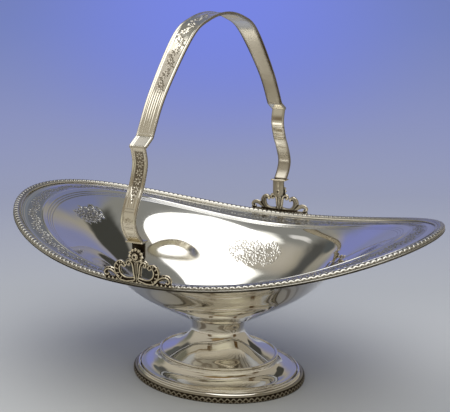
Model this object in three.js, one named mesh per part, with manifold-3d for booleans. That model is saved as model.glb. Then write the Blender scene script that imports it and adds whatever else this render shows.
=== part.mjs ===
// Footed boat-shaped table basket in polished silver, with a strap handle that swings on two rivets.
// Millimetres. +X runs along the bowl, +Y across it, +Z up. The origin is on the table under its centre.

import * as THREE from 'three';
import { mergeVertices } from 'three/addons/utils/BufferGeometryUtils.js';
import Module from 'manifold-3d';

const wasm = await Module();
wasm.setup();

// Bowl: an oval whose two ends rise, with a sloping flange round a deeper well
const BOWL_HALF_LENGTH = 170;
const BOWL_HALF_WIDTH = 112.3;
const RIM_HEIGHT = 103.5;
const END_RISE = 29;
const BOWL_SHEET = 1.3;
const FLANGE_WIDTH_AT_END = 24.1;
const FLANGE_WIDTH_AT_SIDE = 20.2;
const FLANGE_DROP = 3.6;
const RIM_FULLNESS = 2.3;
const WELL_FULLNESS = 2.6;
const SEAT_HEIGHT = 42.5;
const SEAT_HALF_LENGTH = 22.5;

// The well's underside from the foot to the flange, as shares of the way out and of the way up
const WELL_PROFILE = [
  [0, 0], [0.07, 0.085], [0.18, 0.22], [0.31, 0.335], [0.43, 0.455],
  [0.55, 0.64], [0.675, 0.8], [0.82, 0.915], [1, 1],
];

// Wire round the bowl's edge, its section as shares of how far it stands out and of its depth
const WIRE_OUT = 1.75;
const WIRE_DEPTH = 2;
const WIRE_PROFILE = [[0, 0.9], [0.6, 1], [1, 0.6], [0.8, 0], [0, 0]];

// Cast border on the edge: a leafy roll outside and a plain thread inside, with a valley between them.
// Its section is in shares of its width, inwards from its outer face, and of its height.
const BORDER_WIDTH = 6.3;
const BORDER_HEIGHT = 2.35;
const BORDER_INSET = 0.05;
const BORDER_SEAT = 0.1;
const BORDER_PROFILE = [
  [0.05, 0], [0, 0.3], [0.13, 0.8], [0.34, 1], [0.6, 0.86], [0.77, 0.42], [0.88, 0.5], [1, 0.28], [1, 0],
];

// Foot: an oval pedestal of two sheets, with a wire on its shoulder and a border on the table
const FOOT_HALF_LENGTH = 69.5;
const FOOT_ASPECT = 0.814;
const FOOT_SHEET = 1.2;
const NECK_HALF_LENGTH = 18.9;
const NECK_TOP_HALF_LENGTH = 21.6;
const NECK_HEIGHT = 36.5;
const SHOULDER_HALF_LENGTH = 47.9;
const SHOULDER_HEIGHT = 17.4;
const SHOULDER_STEP = 3;
const SHOULDER_LAP = 5;
const SHOULDER_WIRE_RADIUS = 0.95;
const DISH_EDGE_HALF_LENGTH = 62.4;
const DISH_EDGE_HEIGHT = 7.7;
const DISH_EDGE_WIDTH = 1;
const FOOT_BORDER_HEIGHT = 5.3;
const FOOT_BORDER_WIDTH = 3.25;
const FOOT_LEDGE_WIDTH = 1.5;
const REED_RADIUS = 0.75;

// The stem's outside up to its neck, as shares of the way out from the neck and of the way up to it
const STEM_PROFILE = [[0.84, 0.13], [0.52, 0.29], [0.24, 0.53], [0.06, 0.8], [0, 1]];

// The dish from its step to its raised edge, as shares of the way out and of the height above that edge
const DISH_PROFILE = [[0, 1], [0.12, 0.6], [0.37, 0.2], [0.7, -0.03], [1, -0.05]];

// The foot border's outer face, as shares of its width in from the edge and of its height
const FOOT_BORDER_PROFILE = [[0.15, 0], [0, 0.17], [0.02, 0.57], [0.3, 0.88], [0.65, 1]];

// Brackets: cast openwork on the bowl's edge, each up to a boss for its rivet
const BRACKET_HALF_LENGTH = 27;
const BRACKET_THICKNESS = 2.8;
const BRACKET_BEVEL = 0.5;
const BRACKET_INSET = 0.5;
const BRACKET_FOOT = 0.7;
const BASE_OVER_BORDER = 1.7;
const BASE_TAPER = 1;
const PIVOT_OVER_RIM = 19.6;

// A bracket's right-hand scrolls, as shares of its half length and of the pivot's height.
// The ribbons' widths, and the stem's, are shares of one ribbon width.
const RIBBON_WIDTH = 2;
const LEAF_SCROLL = {
  line: [
    [0.056, 0.214], [0.207, 0.173], [0.348, 0.163], [0.478, 0.235], [0.552, 0.393],
    [0.552, 0.577], [0.478, 0.699], [0.393, 0.679], [0.363, 0.592],
  ],
  widths: [0.9, 0.9, 1.1, 1.7, 2.5, 2.6, 2, 1.1, 0.65],
  steps: 10,
};
const INNER_SCROLL = {
  line: [
    [0.048, 0.204], [0.081, 0.429], [0.093, 0.597], [0.13, 0.745],
    [0.207, 0.816], [0.274, 0.76], [0.259, 0.668], [0.207, 0.663],
  ],
  widths: [1, 0.8, 0.8, 0.85, 0.85, 0.75, 0.7, 0.9],
  steps: 9,
};
const END_SCROLL = {
  line: [
    [0.504, 0.204], [0.622, 0.311], [0.748, 0.403], [0.867, 0.398],
    [0.933, 0.296], [0.889, 0.209], [0.822, 0.235],
  ],
  widths: [1, 1.1, 1.1, 1, 0.9, 0.75, 0.8],
  steps: 7,
};
const SCROLL_EYE = [0.211, 0.694];
const SCROLL_EYE_RADIUS = 1.2;
const STEM_WIDTHS = [2.2, 1, 1.5];
const STEM_LINE = [0.153, 0.46];

// Boss: a rim that falls to a dish inside it, and an eye raised round the rivet's head. The rim's section is
// in shares of its width in from the edge and of its depth, the eye's in shares of its width and height.
const BOSS_RADIUS = 4.6;
const BOSS_PROUD = 1.7;
const BOSS_BACK_BEVEL = 0.5;
const BOSS_LAP = 1;
const BOSS_RIM_WIDTH = 1.6;
const BOSS_RIM_DEPTH = 1.3;
const BOSS_RIM_PROFILE = [[0, 1], [0.31, 0.31], [0.69, 0.23], [1, 0.77]];
const BOSS_EYE_WIDTH = 0.4;
const BOSS_EYE_HEIGHT = 0.9;
const BOSS_EYE_PROFILE = [[1, 1], [0.25, 0]];

// Rivets, with the round edge of a head as shares of its radius and height
const PIN_RADIUS = 1.2;
const PIN_HEAD_RADIUS = 1.9;
const PIN_HEAD_HEIGHT = 0.8;
const PIN_HEAD_PROFILE = [[1, 0], [1, 0.4], [0.6, 1], [0, 1]];

// Handle: a flat strap with raised edges, bent in the plane of the two rivets
const HANDLE_RISE = 152.3;
const SHOULDER_OUT = 99;
const SHOULDER_UP = 77;
const STEP_OUT = 8.4;
const STEP_DOWN = 5.6;
const STEP_NECK = 0.9;
const ARCH_WIDTH = 13.2;
const LEG_WIDTH = 11.5;
const STRAP_THICKNESS = 1.4;
const STRAP_EDGE_HEIGHT = 0.7;
const STRAP_EDGE_WIDTH = 1.5;
const STRAP_EDGE_SLOPE = 0.2;

// Half of the arch from its crown to a shoulder, as shares of the way out and of the way up
const ARCH_PROFILE = [[0, 1], [0.465, 0.805], [0.818, 0.335], [1, 0]];

// How far each leg sways out of a straight line, as a share of the most, against the share of the way up it
const LEG_SWAY_OUT = 8.9;
const LEG_SWAY = [[0, 0], [0.674, 0.113], [1, 0.253], [0.528, 0.45], [0, 0.6], [-0.348, 0.812], [0, 1]];

// Tangs: the tongues that the rivets pass through, each under a cap that carries its leg
const TANG_WIDTH = 9.6;
const TANG_THICKNESS = 1.8;
const CAP_HEIGHT = 1.2;
const CAP_BEVEL = 0.36;
const CAP_OVER_PIVOT = 9.4;
const CAP_MARGIN = 0.9;
const LEG_FOOT_OUT = 2.7;
const HUSK_LENGTH = 6.4;
const HUSK_WIDTH = 3;

// Clearances: between soldered pieces, round the rivet, under its head, and between tang and boss
const SEAM = 0.05;
const PIN_CLEARANCE = 0.08;
const HEAD_GAP = 0.15;
const SWING_GAP = 0.3;

// Facets round the bowl, the foot, a foot wire, a rivet and a husk, and steps along the curves
const BOWL_SEGMENTS = 64;
const FOOT_SEGMENTS = 36;
const WIRE_SIDES = 5;
const PIN_SEGMENTS = 16;
const HUSK_SEGMENTS = 10;
const WELL_STEPS = 10;
const STEM_STEPS = 8;
const DISH_STEPS = 5;
const BASE_STEPS = 8;
const ARCH_STEPS = 36;
const LEG_STEPS = 20;

const edgeHalfLength = BOWL_HALF_LENGTH - WIRE_OUT;
const edgeHalfWidth = BOWL_HALF_WIDTH - WIRE_OUT;
const pivotHeight = RIM_HEIGHT + PIVOT_OVER_RIM;
const bracketOuter = BOWL_HALF_WIDTH + BRACKET_THICKNESS / 2 - BRACKET_INSET;
const bracketInner = bracketOuter - BRACKET_THICKNESS;
const tangOuter = bracketInner - SWING_GAP;
const tangInner = tangOuter - TANG_THICKNESS;
const capTop = CAP_OVER_PIVOT + CAP_HEIGHT;
const boreRadius = PIN_RADIUS + PIN_CLEARANCE;

const polished = { color: 0xd6d8dc, metalness: 1, roughness: 0.12 };
const cast = { color: 0xb9b2a2, metalness: 1, roughness: 0.32 };

// Lines and closed bodies

function flat(points) {
  return points.map(([x, y]) => new THREE.Vector2(x, y));
}

function smooth(points, steps) {
  return new THREE.SplineCurve(flat(points)).getPoints(steps);
}

// At each point of a line, square to its left as it runs, longer at a corner so that its sides stay parallel
function leftOf(line, i) {
  const before = line[Math.max(i - 1, 0)];
  const after = line[Math.min(i + 1, line.length - 1)];
  const arriving = (i > 0 ? line[i] : after).clone().sub(i > 0 ? before : line[i]).normalize();
  const last = i === line.length - 1;
  const leaving = (last ? line[i] : after).clone().sub(last ? before : line[i]).normalize();
  const middle = arriving.clone().add(leaving).normalize();
  const stretch = 1 / middle.dot(leaving);
  return new THREE.Vector2(-middle.y, middle.x).multiplyScalar(stretch);
}

function toTheLeft(line, distance) {
  return line.map((point, i) => point.clone().addScaledVector(leftOf(line, i), distance));
}

// Joins rows of points, each row a closed ring. Ends are capped by the faces given, or else round a centre.
function skin(rows, { loop = false, capFaces = null } = {}) {
  const count = rows[0].length;
  const positions = rows.flat().flatMap((point) => point.toArray());
  const index = [];
  for (let i = 0; i < rows.length - (loop ? 0 : 1); i += 1) {
    const here = i * count;
    const there = ((i + 1) % rows.length) * count;
    for (let j = 0; j < count; j += 1) {
      const k = (j + 1) % count;
      index.push(here + j, here + k, there + k, here + j, there + k, there + j);
    }
  }
  for (const row of loop ? [] : [0, rows.length - 1]) {
    const start = row * count;
    let faces = capFaces?.map((face) => face.map((corner) => start + corner));
    if (!faces) {
      const sum = rows[row].reduce((total, point) => total.add(point), new THREE.Vector3());
      const centre = sum.divideScalar(count);
      const hub = positions.length / 3;
      positions.push(...centre.toArray());
      faces = rows[row].map((_, j) => [hub, start + j, start + ((j + 1) % count)]);
    }
    for (const [a, b, c] of faces) index.push(...(row === 0 ? [a, c, b] : [a, b, c]));
  }
  const geometry = new THREE.BufferGeometry();
  geometry.setAttribute('position', new THREE.Float32BufferAttribute(positions, 3));
  geometry.setIndex(index);
  return geometry;
}

// Turns an outline of radius and height about the upright axis. It runs out underneath and back over the top.
function turned(outline, segments) {
  const closed = outline[0].x > 0 ? [...outline, outline[0].clone()] : outline;
  return new THREE.LatheGeometry(closed, segments).rotateX(Math.PI / 2);
}

function solidOf(geometry) {
  const bare = geometry.clone();
  bare.deleteAttribute('normal');
  bare.deleteAttribute('uv');
  const merged = mergeVertices(bare, 1e-4);
  return new wasm.Manifold(new wasm.Mesh({
    numProp: 3,
    vertProperties: new Float32Array(merged.attributes.position.array),
    triVerts: new Uint32Array(merged.index.array),
  }));
}

function geometryOf(solid) {
  const mesh = solid.getMesh();
  const geometry = new THREE.BufferGeometry();
  geometry.setAttribute('position', new THREE.BufferAttribute(mesh.vertProperties, 3));
  geometry.setIndex(new THREE.BufferAttribute(mesh.triVerts, 1));
  return geometry;
}

function joined(geometries) {
  return geometries.map(solidOf).reduce((whole, piece) => whole.add(piece));
}

// Bowl

const edgeOval = {
  halfLength: edgeHalfLength,
  halfWidth: edgeHalfWidth,
  fullness: RIM_FULLNESS,
  height: RIM_HEIGHT - BOWL_SHEET,
  rise: END_RISE,
};

const flangeOval = {
  halfLength: edgeHalfLength - FLANGE_WIDTH_AT_END,
  halfWidth: edgeHalfWidth - FLANGE_WIDTH_AT_SIDE,
  fullness: WELL_FULLNESS,
  height: edgeOval.height - FLANGE_DROP,
  rise: END_RISE,
};

function wellOval({ x: out, y: up }) {
  const halfLength = THREE.MathUtils.lerp(SEAT_HALF_LENGTH, flangeOval.halfLength, out);
  const flangeAspect = flangeOval.halfWidth / flangeOval.halfLength;
  const seatSquare = SEAT_HALF_LENGTH ** 2;
  return {
    halfLength,
    halfWidth: halfLength * THREE.MathUtils.lerp(FOOT_ASPECT, flangeAspect, out),
    fullness: THREE.MathUtils.lerp(2, WELL_FULLNESS, out),
    height: THREE.MathUtils.lerp(SEAT_HEIGHT, flangeOval.height, up),
    rise: END_RISE * (halfLength ** 2 - seatSquare) / (flangeOval.halfLength ** 2 - seatSquare),
  };
}

function ovalRow(oval) {
  return Array.from({ length: BOWL_SEGMENTS }, (_, j) => {
    const angle = (j / BOWL_SEGMENTS) * 2 * Math.PI;
    const along = Math.cos(angle);
    const across = Math.sqrt(1 - Math.abs(along) ** oval.fullness) * Math.sign(Math.sin(angle));
    return new THREE.Vector3(
      oval.halfLength * along,
      oval.halfWidth * across,
      oval.height + oval.rise * along ** 2,
    );
  });
}

function nextTo(row, j) {
  return row[(j + 1) % row.length].clone().sub(row.at(j - 1));
}

const undersideRows = [...smooth(WELL_PROFILE, WELL_STEPS).map(wellOval), edgeOval].map(ovalRow);

const topsideRows = undersideRows.map((row, i) => row.map((point, j) => {
  if (i === 0) return point.clone().add(new THREE.Vector3(0, 0, BOWL_SHEET));
  const outer = undersideRows[Math.min(i + 1, undersideRows.length - 1)][j];
  const out = outer.clone().sub(undersideRows[i - 1][j]);
  return point.clone().addScaledVector(out.cross(nextTo(row, j)).normalize(), BOWL_SHEET);
}));

function bowl() {
  return skin([...undersideRows, ...topsideRows.toReversed()]);
}

// At each point of the bowl's upper edge: out along the flange, and square up from it
const edgeFrames = topsideRows.at(-1).map((point, j, row) => {
  const along = nextTo(row, j).normalize();
  const up = point.clone().sub(topsideRows.at(-2)[j]).cross(along).normalize();
  return { point, up, out: along.clone().cross(up) };
});

// A moulding that follows the edge, from a section of distances out along the flange and up from it
function edgeMoulding(section) {
  const rows = section.map(([out, up]) => edgeFrames.map((frame) => (
    frame.point.clone().addScaledVector(frame.out, out).addScaledVector(frame.up, up)
  )));
  return skin(rows, { loop: true });
}

function rimWire() {
  return edgeMoulding(WIRE_PROFILE.map(([out, down]) => [
    Math.max(WIRE_OUT * out, SEAM),
    -Math.max(WIRE_DEPTH * down, SEAM),
  ]));
}

function borderSection(growth) {
  const outerFace = WIRE_OUT - BORDER_INSET + growth;
  return BORDER_PROFILE.map(([inward, up]) => [
    outerFace - (BORDER_WIDTH + 2 * growth) * inward,
    up > 0 ? BORDER_HEIGHT * up + growth : BORDER_SEAT - growth,
  ]);
}

// Foot

const skirtTop = FOOT_BORDER_HEIGHT - SEAM;
const skirtHalfLength = FOOT_HALF_LENGTH - FOOT_BORDER_WIDTH - SEAM;
const dishRim = DISH_EDGE_HALF_LENGTH + DISH_EDGE_WIDTH;

function footPiece(outline) {
  return turned(outline, FOOT_SEGMENTS).scale(1, FOOT_ASPECT, 1);
}

function footWire(halfLength, height, radius) {
  return footPiece(Array.from({ length: WIRE_SIDES }, (_, i) => {
    const angle = (i / WIRE_SIDES) * 2 * Math.PI;
    return new THREE.Vector2(halfLength + radius * Math.cos(angle), height + radius * Math.sin(angle));
  }));
}

function footStem() {
  const top = SEAT_HEIGHT - SEAM;
  const edge = SHOULDER_HALF_LENGTH - 2 * SHOULDER_WIRE_RADIUS - SEAM;
  const outside = smooth([
    [edge, SHOULDER_HEIGHT + FOOT_SHEET],
    ...STEM_PROFILE.map(([out, up]) => [
      THREE.MathUtils.lerp(NECK_HALF_LENGTH, edge, out),
      THREE.MathUtils.lerp(SHOULDER_HEIGHT, NECK_HEIGHT, up),
    ]),
    [NECK_TOP_HALF_LENGTH, top],
  ], STEM_STEPS);
  const inside = toTheLeft(outside, FOOT_SHEET);
  inside[0].set(edge, SHOULDER_HEIGHT + SEAM);
  inside.at(-1).set(NECK_TOP_HALF_LENGTH - FOOT_SHEET, top);
  return footPiece([...outside, ...inside.toReversed()]);
}

function footBead() {
  const height = SHOULDER_HEIGHT + SEAM + SHOULDER_WIRE_RADIUS;
  return footWire(SHOULDER_HALF_LENGTH - SHOULDER_WIRE_RADIUS, height, SHOULDER_WIRE_RADIUS);
}

// The dished sheet: a flat shoulder, a short step, a hollow dish with a raised edge, and a skirt
function footBase() {
  const shoulder = flat([
    [SHOULDER_HALF_LENGTH - SHOULDER_LAP, SHOULDER_HEIGHT],
    [SHOULDER_HALF_LENGTH, SHOULDER_HEIGHT],
  ]);
  const dish = smooth(DISH_PROFILE.map(([out, up]) => [
    THREE.MathUtils.lerp(SHOULDER_HALF_LENGTH, DISH_EDGE_HALF_LENGTH, out),
    THREE.MathUtils.lerp(DISH_EDGE_HEIGHT, SHOULDER_HEIGHT - SHOULDER_STEP, up),
  ]), DISH_STEPS);
  const skirt = flat([[dishRim, skirtTop + REED_RADIUS], [skirtHalfLength, skirtTop]]);
  const over = [...shoulder, ...dish, ...skirt];
  const under = toTheLeft(over, -FOOT_SHEET);
  under.at(-1).setX(skirtHalfLength);
  return footPiece([...under, ...over.toReversed()]);
}

function footReed() {
  return footWire((dishRim + skirtHalfLength) / 2, skirtTop + 2 * REED_RADIUS, REED_RADIUS);
}

// A moulded edge that stands on the table, with a ledge inside it under the skirt
function footBorder() {
  const inner = FOOT_HALF_LENGTH - FOOT_BORDER_WIDTH;
  const ledge = skirtTop - FOOT_SHEET - 2 * SEAM;
  const face = FOOT_BORDER_PROFILE.map(([inward, up]) => [
    FOOT_HALF_LENGTH - FOOT_BORDER_WIDTH * inward,
    FOOT_BORDER_HEIGHT * up,
  ]);
  return footPiece(flat([
    [inner - FOOT_LEDGE_WIDTH, 0], ...face, [inner, FOOT_BORDER_HEIGHT],
    [inner, ledge], [inner - FOOT_LEDGE_WIDTH, ledge],
  ]));
}

// Brackets: scrolls drawn in the upright plane, with their heights counted from the rim

// A ribbon along a curve, whose width follows a list of shares of the ribbon width
function ribbon(points, widths, steps) {
  const line = smooth(points, steps);
  const width = (i) => {
    const place = (i / (line.length - 1)) * (widths.length - 1);
    const k = Math.min(Math.floor(place), widths.length - 2);
    return RIBBON_WIDTH * THREE.MathUtils.lerp(widths[k], widths[k + 1], place - k);
  };
  const left = line.map((point, i) => point.clone().addScaledVector(leftOf(line, i), width(i) / 2));
  const right = line.map((point, i) => point.clone().addScaledVector(leftOf(line, i), -width(i) / 2));
  return new THREE.Shape([...right, ...left.toReversed()]);
}

// An upright plate of the front bracket, from its drawing
function bracketPlate(shape, bevel) {
  return new THREE.ExtrudeGeometry(shape, {
    depth: BRACKET_THICKNESS - 2 * bevel,
    bevelEnabled: bevel > 0,
    bevelThickness: bevel,
    bevelSize: bevel,
    bevelOffset: -bevel,
    bevelSegments: 1,
    curveSegments: PIN_SEGMENTS / 4,
  }).rotateX(Math.PI / 2).translate(0, -bracketInner - bevel, RIM_HEIGHT);
}

function bracketScroll({ line, widths, steps }, side) {
  const points = line.map(([x, z]) => [side * BRACKET_HALF_LENGTH * x, PIVOT_OVER_RIM * z]);
  return ribbon(points, widths, steps);
}

function scrollEye(side) {
  const [x, z] = SCROLL_EYE;
  return new THREE.Shape()
    .absarc(side * BRACKET_HALF_LENGTH * x, PIVOT_OVER_RIM * z, SCROLL_EYE_RADIUS, 0, 2 * Math.PI);
}

function bracketStem() {
  const [low, waist] = STEM_LINE.map((share) => share * PIVOT_OVER_RIM);
  const top = PIVOT_OVER_RIM - BOSS_RADIUS + BOSS_LAP;
  return ribbon([[0, low], [0, waist], [0, top]], STEM_WIDTHS, STEM_WIDTHS.length + 1);
}

// A turned body on the rivet's axis, from radii and distances out from the bowl's middle
function onPivot(outline) {
  return new THREE.LatheGeometry(flat(outline), PIN_SEGMENTS).rotateX(Math.PI).translate(0, 0, pivotHeight);
}

function boss() {
  const face = bracketOuter + BOSS_PROUD;
  return onPivot([
    [boreRadius, bracketInner],
    [BOSS_RADIUS - BOSS_BACK_BEVEL, bracketInner],
    [BOSS_RADIUS, bracketInner + BOSS_BACK_BEVEL],
    ...BOSS_RIM_PROFILE.map(([inward, down]) => [
      BOSS_RADIUS - BOSS_RIM_WIDTH * inward,
      face - BOSS_RIM_DEPTH * down,
    ]),
    ...BOSS_EYE_PROFILE.map(([outward, down]) => [
      PIN_HEAD_RADIUS + BOSS_EYE_WIDTH * outward,
      face - BOSS_EYE_HEIGHT * down,
    ]),
    [boreRadius, face],
    [boreRadius, bracketInner],
  ]);
}

function bracketBase() {
  const places = Array.from({ length: BASE_STEPS + 1 }, (_, i) => (2 * i) / BASE_STEPS - 1);
  const rise = (share) => END_RISE * (share * BRACKET_HALF_LENGTH / edgeHalfLength) ** 2;
  const low = places.map((share) => [share * BRACKET_HALF_LENGTH, rise(share) + BRACKET_FOOT]);
  const high = places.map((share) => [
    share * BRACKET_HALF_LENGTH,
    rise(share) + BORDER_HEIGHT + BASE_OVER_BORDER - BASE_TAPER * Math.abs(share),
  ]);
  return new THREE.Shape(flat([...low, ...high.toReversed()]));
}

// The scrolls, stem, base strip and boss in one casting, which sits over the border
function bracket() {
  const scrolls = [-1, 1].flatMap((side) => [
    ...[LEAF_SCROLL, INNER_SCROLL, END_SCROLL].map((scroll) => bracketScroll(scroll, side)),
    scrollEye(side),
  ]);
  const casting = joined([
    ...[...scrolls, bracketStem()].map((shape) => bracketPlate(shape, BRACKET_BEVEL)),
    bracketPlate(bracketBase(), 0),
    boss(),
  ]);
  return geometryOf(casting.subtract(solidOf(edgeMoulding(borderSection(SEAM)))));
}

// Rivet: a head inside the tang, a shank through tang and boss, and a head on the boss
function hingePin() {
  const inner = tangInner - HEAD_GAP;
  const outer = bracketOuter + BOSS_PROUD + SEAM;
  const head = (start, height) => PIN_HEAD_PROFILE.map(([out, up]) => (
    [PIN_HEAD_RADIUS * out, start + height * up]
  ));
  return onPivot([
    ...head(inner, -PIN_HEAD_HEIGHT).toReversed(),
    [PIN_RADIUS, inner],
    [PIN_RADIUS, outer],
    ...head(outer, PIN_HEAD_HEIGHT),
  ]);
}

// Handle, in the upright plane across the bowl, with its heights counted from the rivets

const archHalf = ARCH_PROFILE.map(([out, up]) => [
  SHOULDER_OUT * out,
  THREE.MathUtils.lerp(SHOULDER_UP, HANDLE_RISE, up),
]);
const archLine = smooth(
  [...archHalf.slice(1).toReversed().map(([out, up]) => [-out, up]), ...archHalf],
  ARCH_STEPS,
);
const shoulderLean = archLine[1].clone().sub(archLine[0]).normalize();

function strapSection(width) {
  const face = STRAP_THICKNESS / 2;
  const edge = face + STRAP_EDGE_HEIGHT;
  return [
    [width / 2, -face],
    [-width / 2, -face],
    [-width / 2, edge - STRAP_EDGE_SLOPE],
    [-width / 2 + STRAP_EDGE_WIDTH / 2, edge],
    [-width / 2 + STRAP_EDGE_WIDTH, face],
    [width / 2 - STRAP_EDGE_WIDTH, face],
    [width / 2 - STRAP_EDGE_WIDTH / 2, edge],
    [width / 2, edge - STRAP_EDGE_SLOPE],
  ];
}

// A strap along a line that starts at the front, with its raised edges on its outer side
function strap(line, widthAt, levelStart) {
  const rows = line.map((point, i) => {
    const outward = leftOf(line, i);
    if (levelStart && i === 0) outward.set(-1 / Math.abs(outward.x), 0);
    return strapSection(widthAt(i)).map(([x, out]) => new THREE.Vector3(
      x,
      point.x + outward.x * out,
      pivotHeight + point.y + outward.y * out,
    ));
  });
  const capFaces = THREE.ShapeUtils.triangulateShape(flat(strapSection(widthAt(0))), [])
    .map((face) => face.toReversed());
  return skin(rows, { capFaces });
}

function handleArch() {
  return strap(archLine, () => ARCH_WIDTH, false);
}

// From a cap up to the step under the arch, where the strap widens
function handleLeg() {
  const foot = new THREE.Vector2(-tangOuter - LEG_FOOT_OUT, capTop + SEAM);
  const corner = new THREE.Vector2(-SHOULDER_OUT - STEP_OUT, SHOULDER_UP - STEP_DOWN);
  const rising = smooth(LEG_SWAY.map(([out, up]) => {
    const place = foot.clone().lerp(corner, up);
    return [place.x - LEG_SWAY_OUT * out, place.y];
  }), LEG_STEPS);
  const neck = archLine[0].clone().addScaledVector(shoulderLean, -STEP_NECK);
  const top = archLine[0].clone().addScaledVector(shoulderLean, -SEAM);
  const widthAt = (i) => (i < rising.length - 1 ? LEG_WIDTH : ARCH_WIDTH);
  return strap([...rising, neck, top], widthAt, true);
}

function tangPlate() {
  const half = TANG_WIDTH / 2;
  const top = CAP_OVER_PIVOT + CAP_HEIGHT / 2;
  const tongue = new THREE.Shape(flat([[-half, top], [-half, 0]]));
  tongue.absarc(0, 0, half, Math.PI, 2 * Math.PI);
  tongue.lineTo(half, top);
  tongue.holes.push(new THREE.Path().absarc(0, 0, boreRadius, 0, 2 * Math.PI));
  return new THREE.ExtrudeGeometry(tongue, {
    depth: TANG_THICKNESS,
    bevelEnabled: false,
    curveSegments: PIN_SEGMENTS / 2,
  }).rotateX(Math.PI / 2).translate(0, -tangInner, pivotHeight);
}

function tangCap() {
  const reach = LEG_WIDTH / 2 + CAP_MARGIN;
  const outer = tangOuter + LEG_FOOT_OUT + STRAP_THICKNESS + STRAP_EDGE_HEIGHT + CAP_MARGIN / 2;
  const inner = tangInner - CAP_MARGIN / 2;
  return new THREE.ExtrudeGeometry(
    new THREE.Shape(flat([[-reach, -outer], [reach, -outer], [reach, -inner], [-reach, -inner]])),
    {
      depth: CAP_HEIGHT - 2 * CAP_BEVEL,
      bevelThickness: CAP_BEVEL,
      bevelSize: CAP_BEVEL,
      bevelOffset: -CAP_BEVEL,
      bevelSegments: 1,
    },
  ).translate(0, 0, pivotHeight + CAP_OVER_PIVOT + CAP_BEVEL);
}

function tangHusk() {
  return new THREE.SphereGeometry(1, HUSK_SEGMENTS, HUSK_SEGMENTS - 2)
    .scale(HUSK_WIDTH / 2, TANG_THICKNESS / 2, HUSK_LENGTH / 2)
    .translate(0, -tangInner, pivotHeight + PIN_HEAD_RADIUS + HEAD_GAP + HUSK_LENGTH / 2);
}

function hingeTang() {
  return geometryOf(joined([tangPlate(), tangCap(), tangHusk()]));
}

// The assembly

const basket = new THREE.Group();

function add(name, geometry, finish, facing = 0) {
  const mesh = new THREE.Mesh(geometry, new THREE.MeshStandardMaterial(finish));
  mesh.name = name;
  mesh.rotation.z = facing;
  basket.add(mesh);
}

add('bowl', bowl(), polished);
add('rim_wire', rimWire(), polished);
add('rim_border', edgeMoulding(borderSection(0)), cast);
add('foot_stem', footStem(), polished);
add('foot_bead', footBead(), polished);
add('foot_base', footBase(), polished);
add('foot_reed', footReed(), polished);
add('foot_border', footBorder(), cast);
add('handle_arch', handleArch(), polished);
for (const [side, facing] of [['front', 0], ['back', Math.PI]]) {
  add(`bracket_${side}`, bracket(), cast, facing);
  add(`hinge_pin_${side}`, hingePin(), polished, facing);
  add(`hinge_tang_${side}`, hingeTang(), cast, facing);
  add(`handle_leg_${side}`, handleLeg(), polished, facing);
}

export default basket;
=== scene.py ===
"""Looks of a footed silver table basket with a swing handle, built round its solids.

Sizes are in millimetres and become metres where a mesh is made. +X runs along the bowl.
"""

import math

import bpy
import numpy as np
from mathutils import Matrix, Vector


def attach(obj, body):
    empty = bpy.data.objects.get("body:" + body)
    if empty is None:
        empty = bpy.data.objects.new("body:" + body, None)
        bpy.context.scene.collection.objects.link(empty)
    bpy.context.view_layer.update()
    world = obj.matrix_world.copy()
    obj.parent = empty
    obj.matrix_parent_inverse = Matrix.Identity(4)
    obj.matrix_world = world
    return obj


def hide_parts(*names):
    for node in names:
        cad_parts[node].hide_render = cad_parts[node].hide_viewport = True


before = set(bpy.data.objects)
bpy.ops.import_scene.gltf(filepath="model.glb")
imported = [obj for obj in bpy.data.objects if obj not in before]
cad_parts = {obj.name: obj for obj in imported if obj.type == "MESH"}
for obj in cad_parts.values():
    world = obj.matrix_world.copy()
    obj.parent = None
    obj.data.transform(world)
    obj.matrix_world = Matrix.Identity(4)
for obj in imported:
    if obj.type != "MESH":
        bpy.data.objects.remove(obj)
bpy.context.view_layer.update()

MM = 0.001

# Bowl
BOWL_HALF_LENGTH = 170.0
BOWL_HALF_WIDTH = 112.3
RIM_HEIGHT = 103.5
END_RISE = 29.0
BOWL_SHEET = 1.3
FLANGE_WIDTH_AT_END = 24.1
FLANGE_WIDTH_AT_SIDE = 20.2
FLANGE_DROP = 3.6
RIM_FULLNESS = 2.3
WELL_FULLNESS = 2.6
SEAT_HEIGHT = 45.5
SEAT_HALF_LENGTH = 22.5
WELL_PROFILE = [
    (-0.185, 0.0), (-0.11, 0.0), (-0.035, 0.0), (0.015, 0.01), (0.07, 0.055), (0.18, 0.176),
    (0.31, 0.297), (0.43, 0.424), (0.55, 0.62), (0.675, 0.789), (0.82, 0.91), (1.0, 1.0),
]

# Wire and border on the edge
WIRE_OUT = 1.75
WIRE_DEPTH = 2.0
BORDER_WIDTH = 6.3
BORDER_HEIGHT = 2.35
BORDER_INSET = 0.05
BORDER_SEAT = 0.1

# Foot
FOOT_HALF_LENGTH = 69.5
FOOT_ASPECT = 0.814
FOOT_SHEET = 1.2
NECK_HALF_LENGTH = 20.7
NECK_TOP_HALF_LENGTH = 22.2
NECK_HEIGHT = 38.0
SHOULDER_HALF_LENGTH = 47.9
SHOULDER_HEIGHT = 17.4
SHOULDER_STEP = 3.0
SHOULDER_LAP = 5.0
SHOULDER_WIRE_RADIUS = 0.95
DISH_EDGE_HALF_LENGTH = 62.4
DISH_EDGE_HEIGHT = 7.7
FOOT_BORDER_HEIGHT = 5.3
FOOT_BORDER_WIDTH = 3.25
FOOT_LEDGE_WIDTH = 1.5
REED_RADIUS = 0.75

# Brackets and rivets
BRACKET_HALF_LENGTH = 27.0
BRACKET_THICKNESS = 2.8
BRACKET_OUTER = 113.2
PIVOT_OVER_RIM = 19.6
BOSS_RADIUS = 4.6
BOSS_PROUD = 1.7
PIN_RADIUS = 1.2
PIN_HEAD_RADIUS = 1.9
PIN_HEAD_HEIGHT = 0.8

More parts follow.
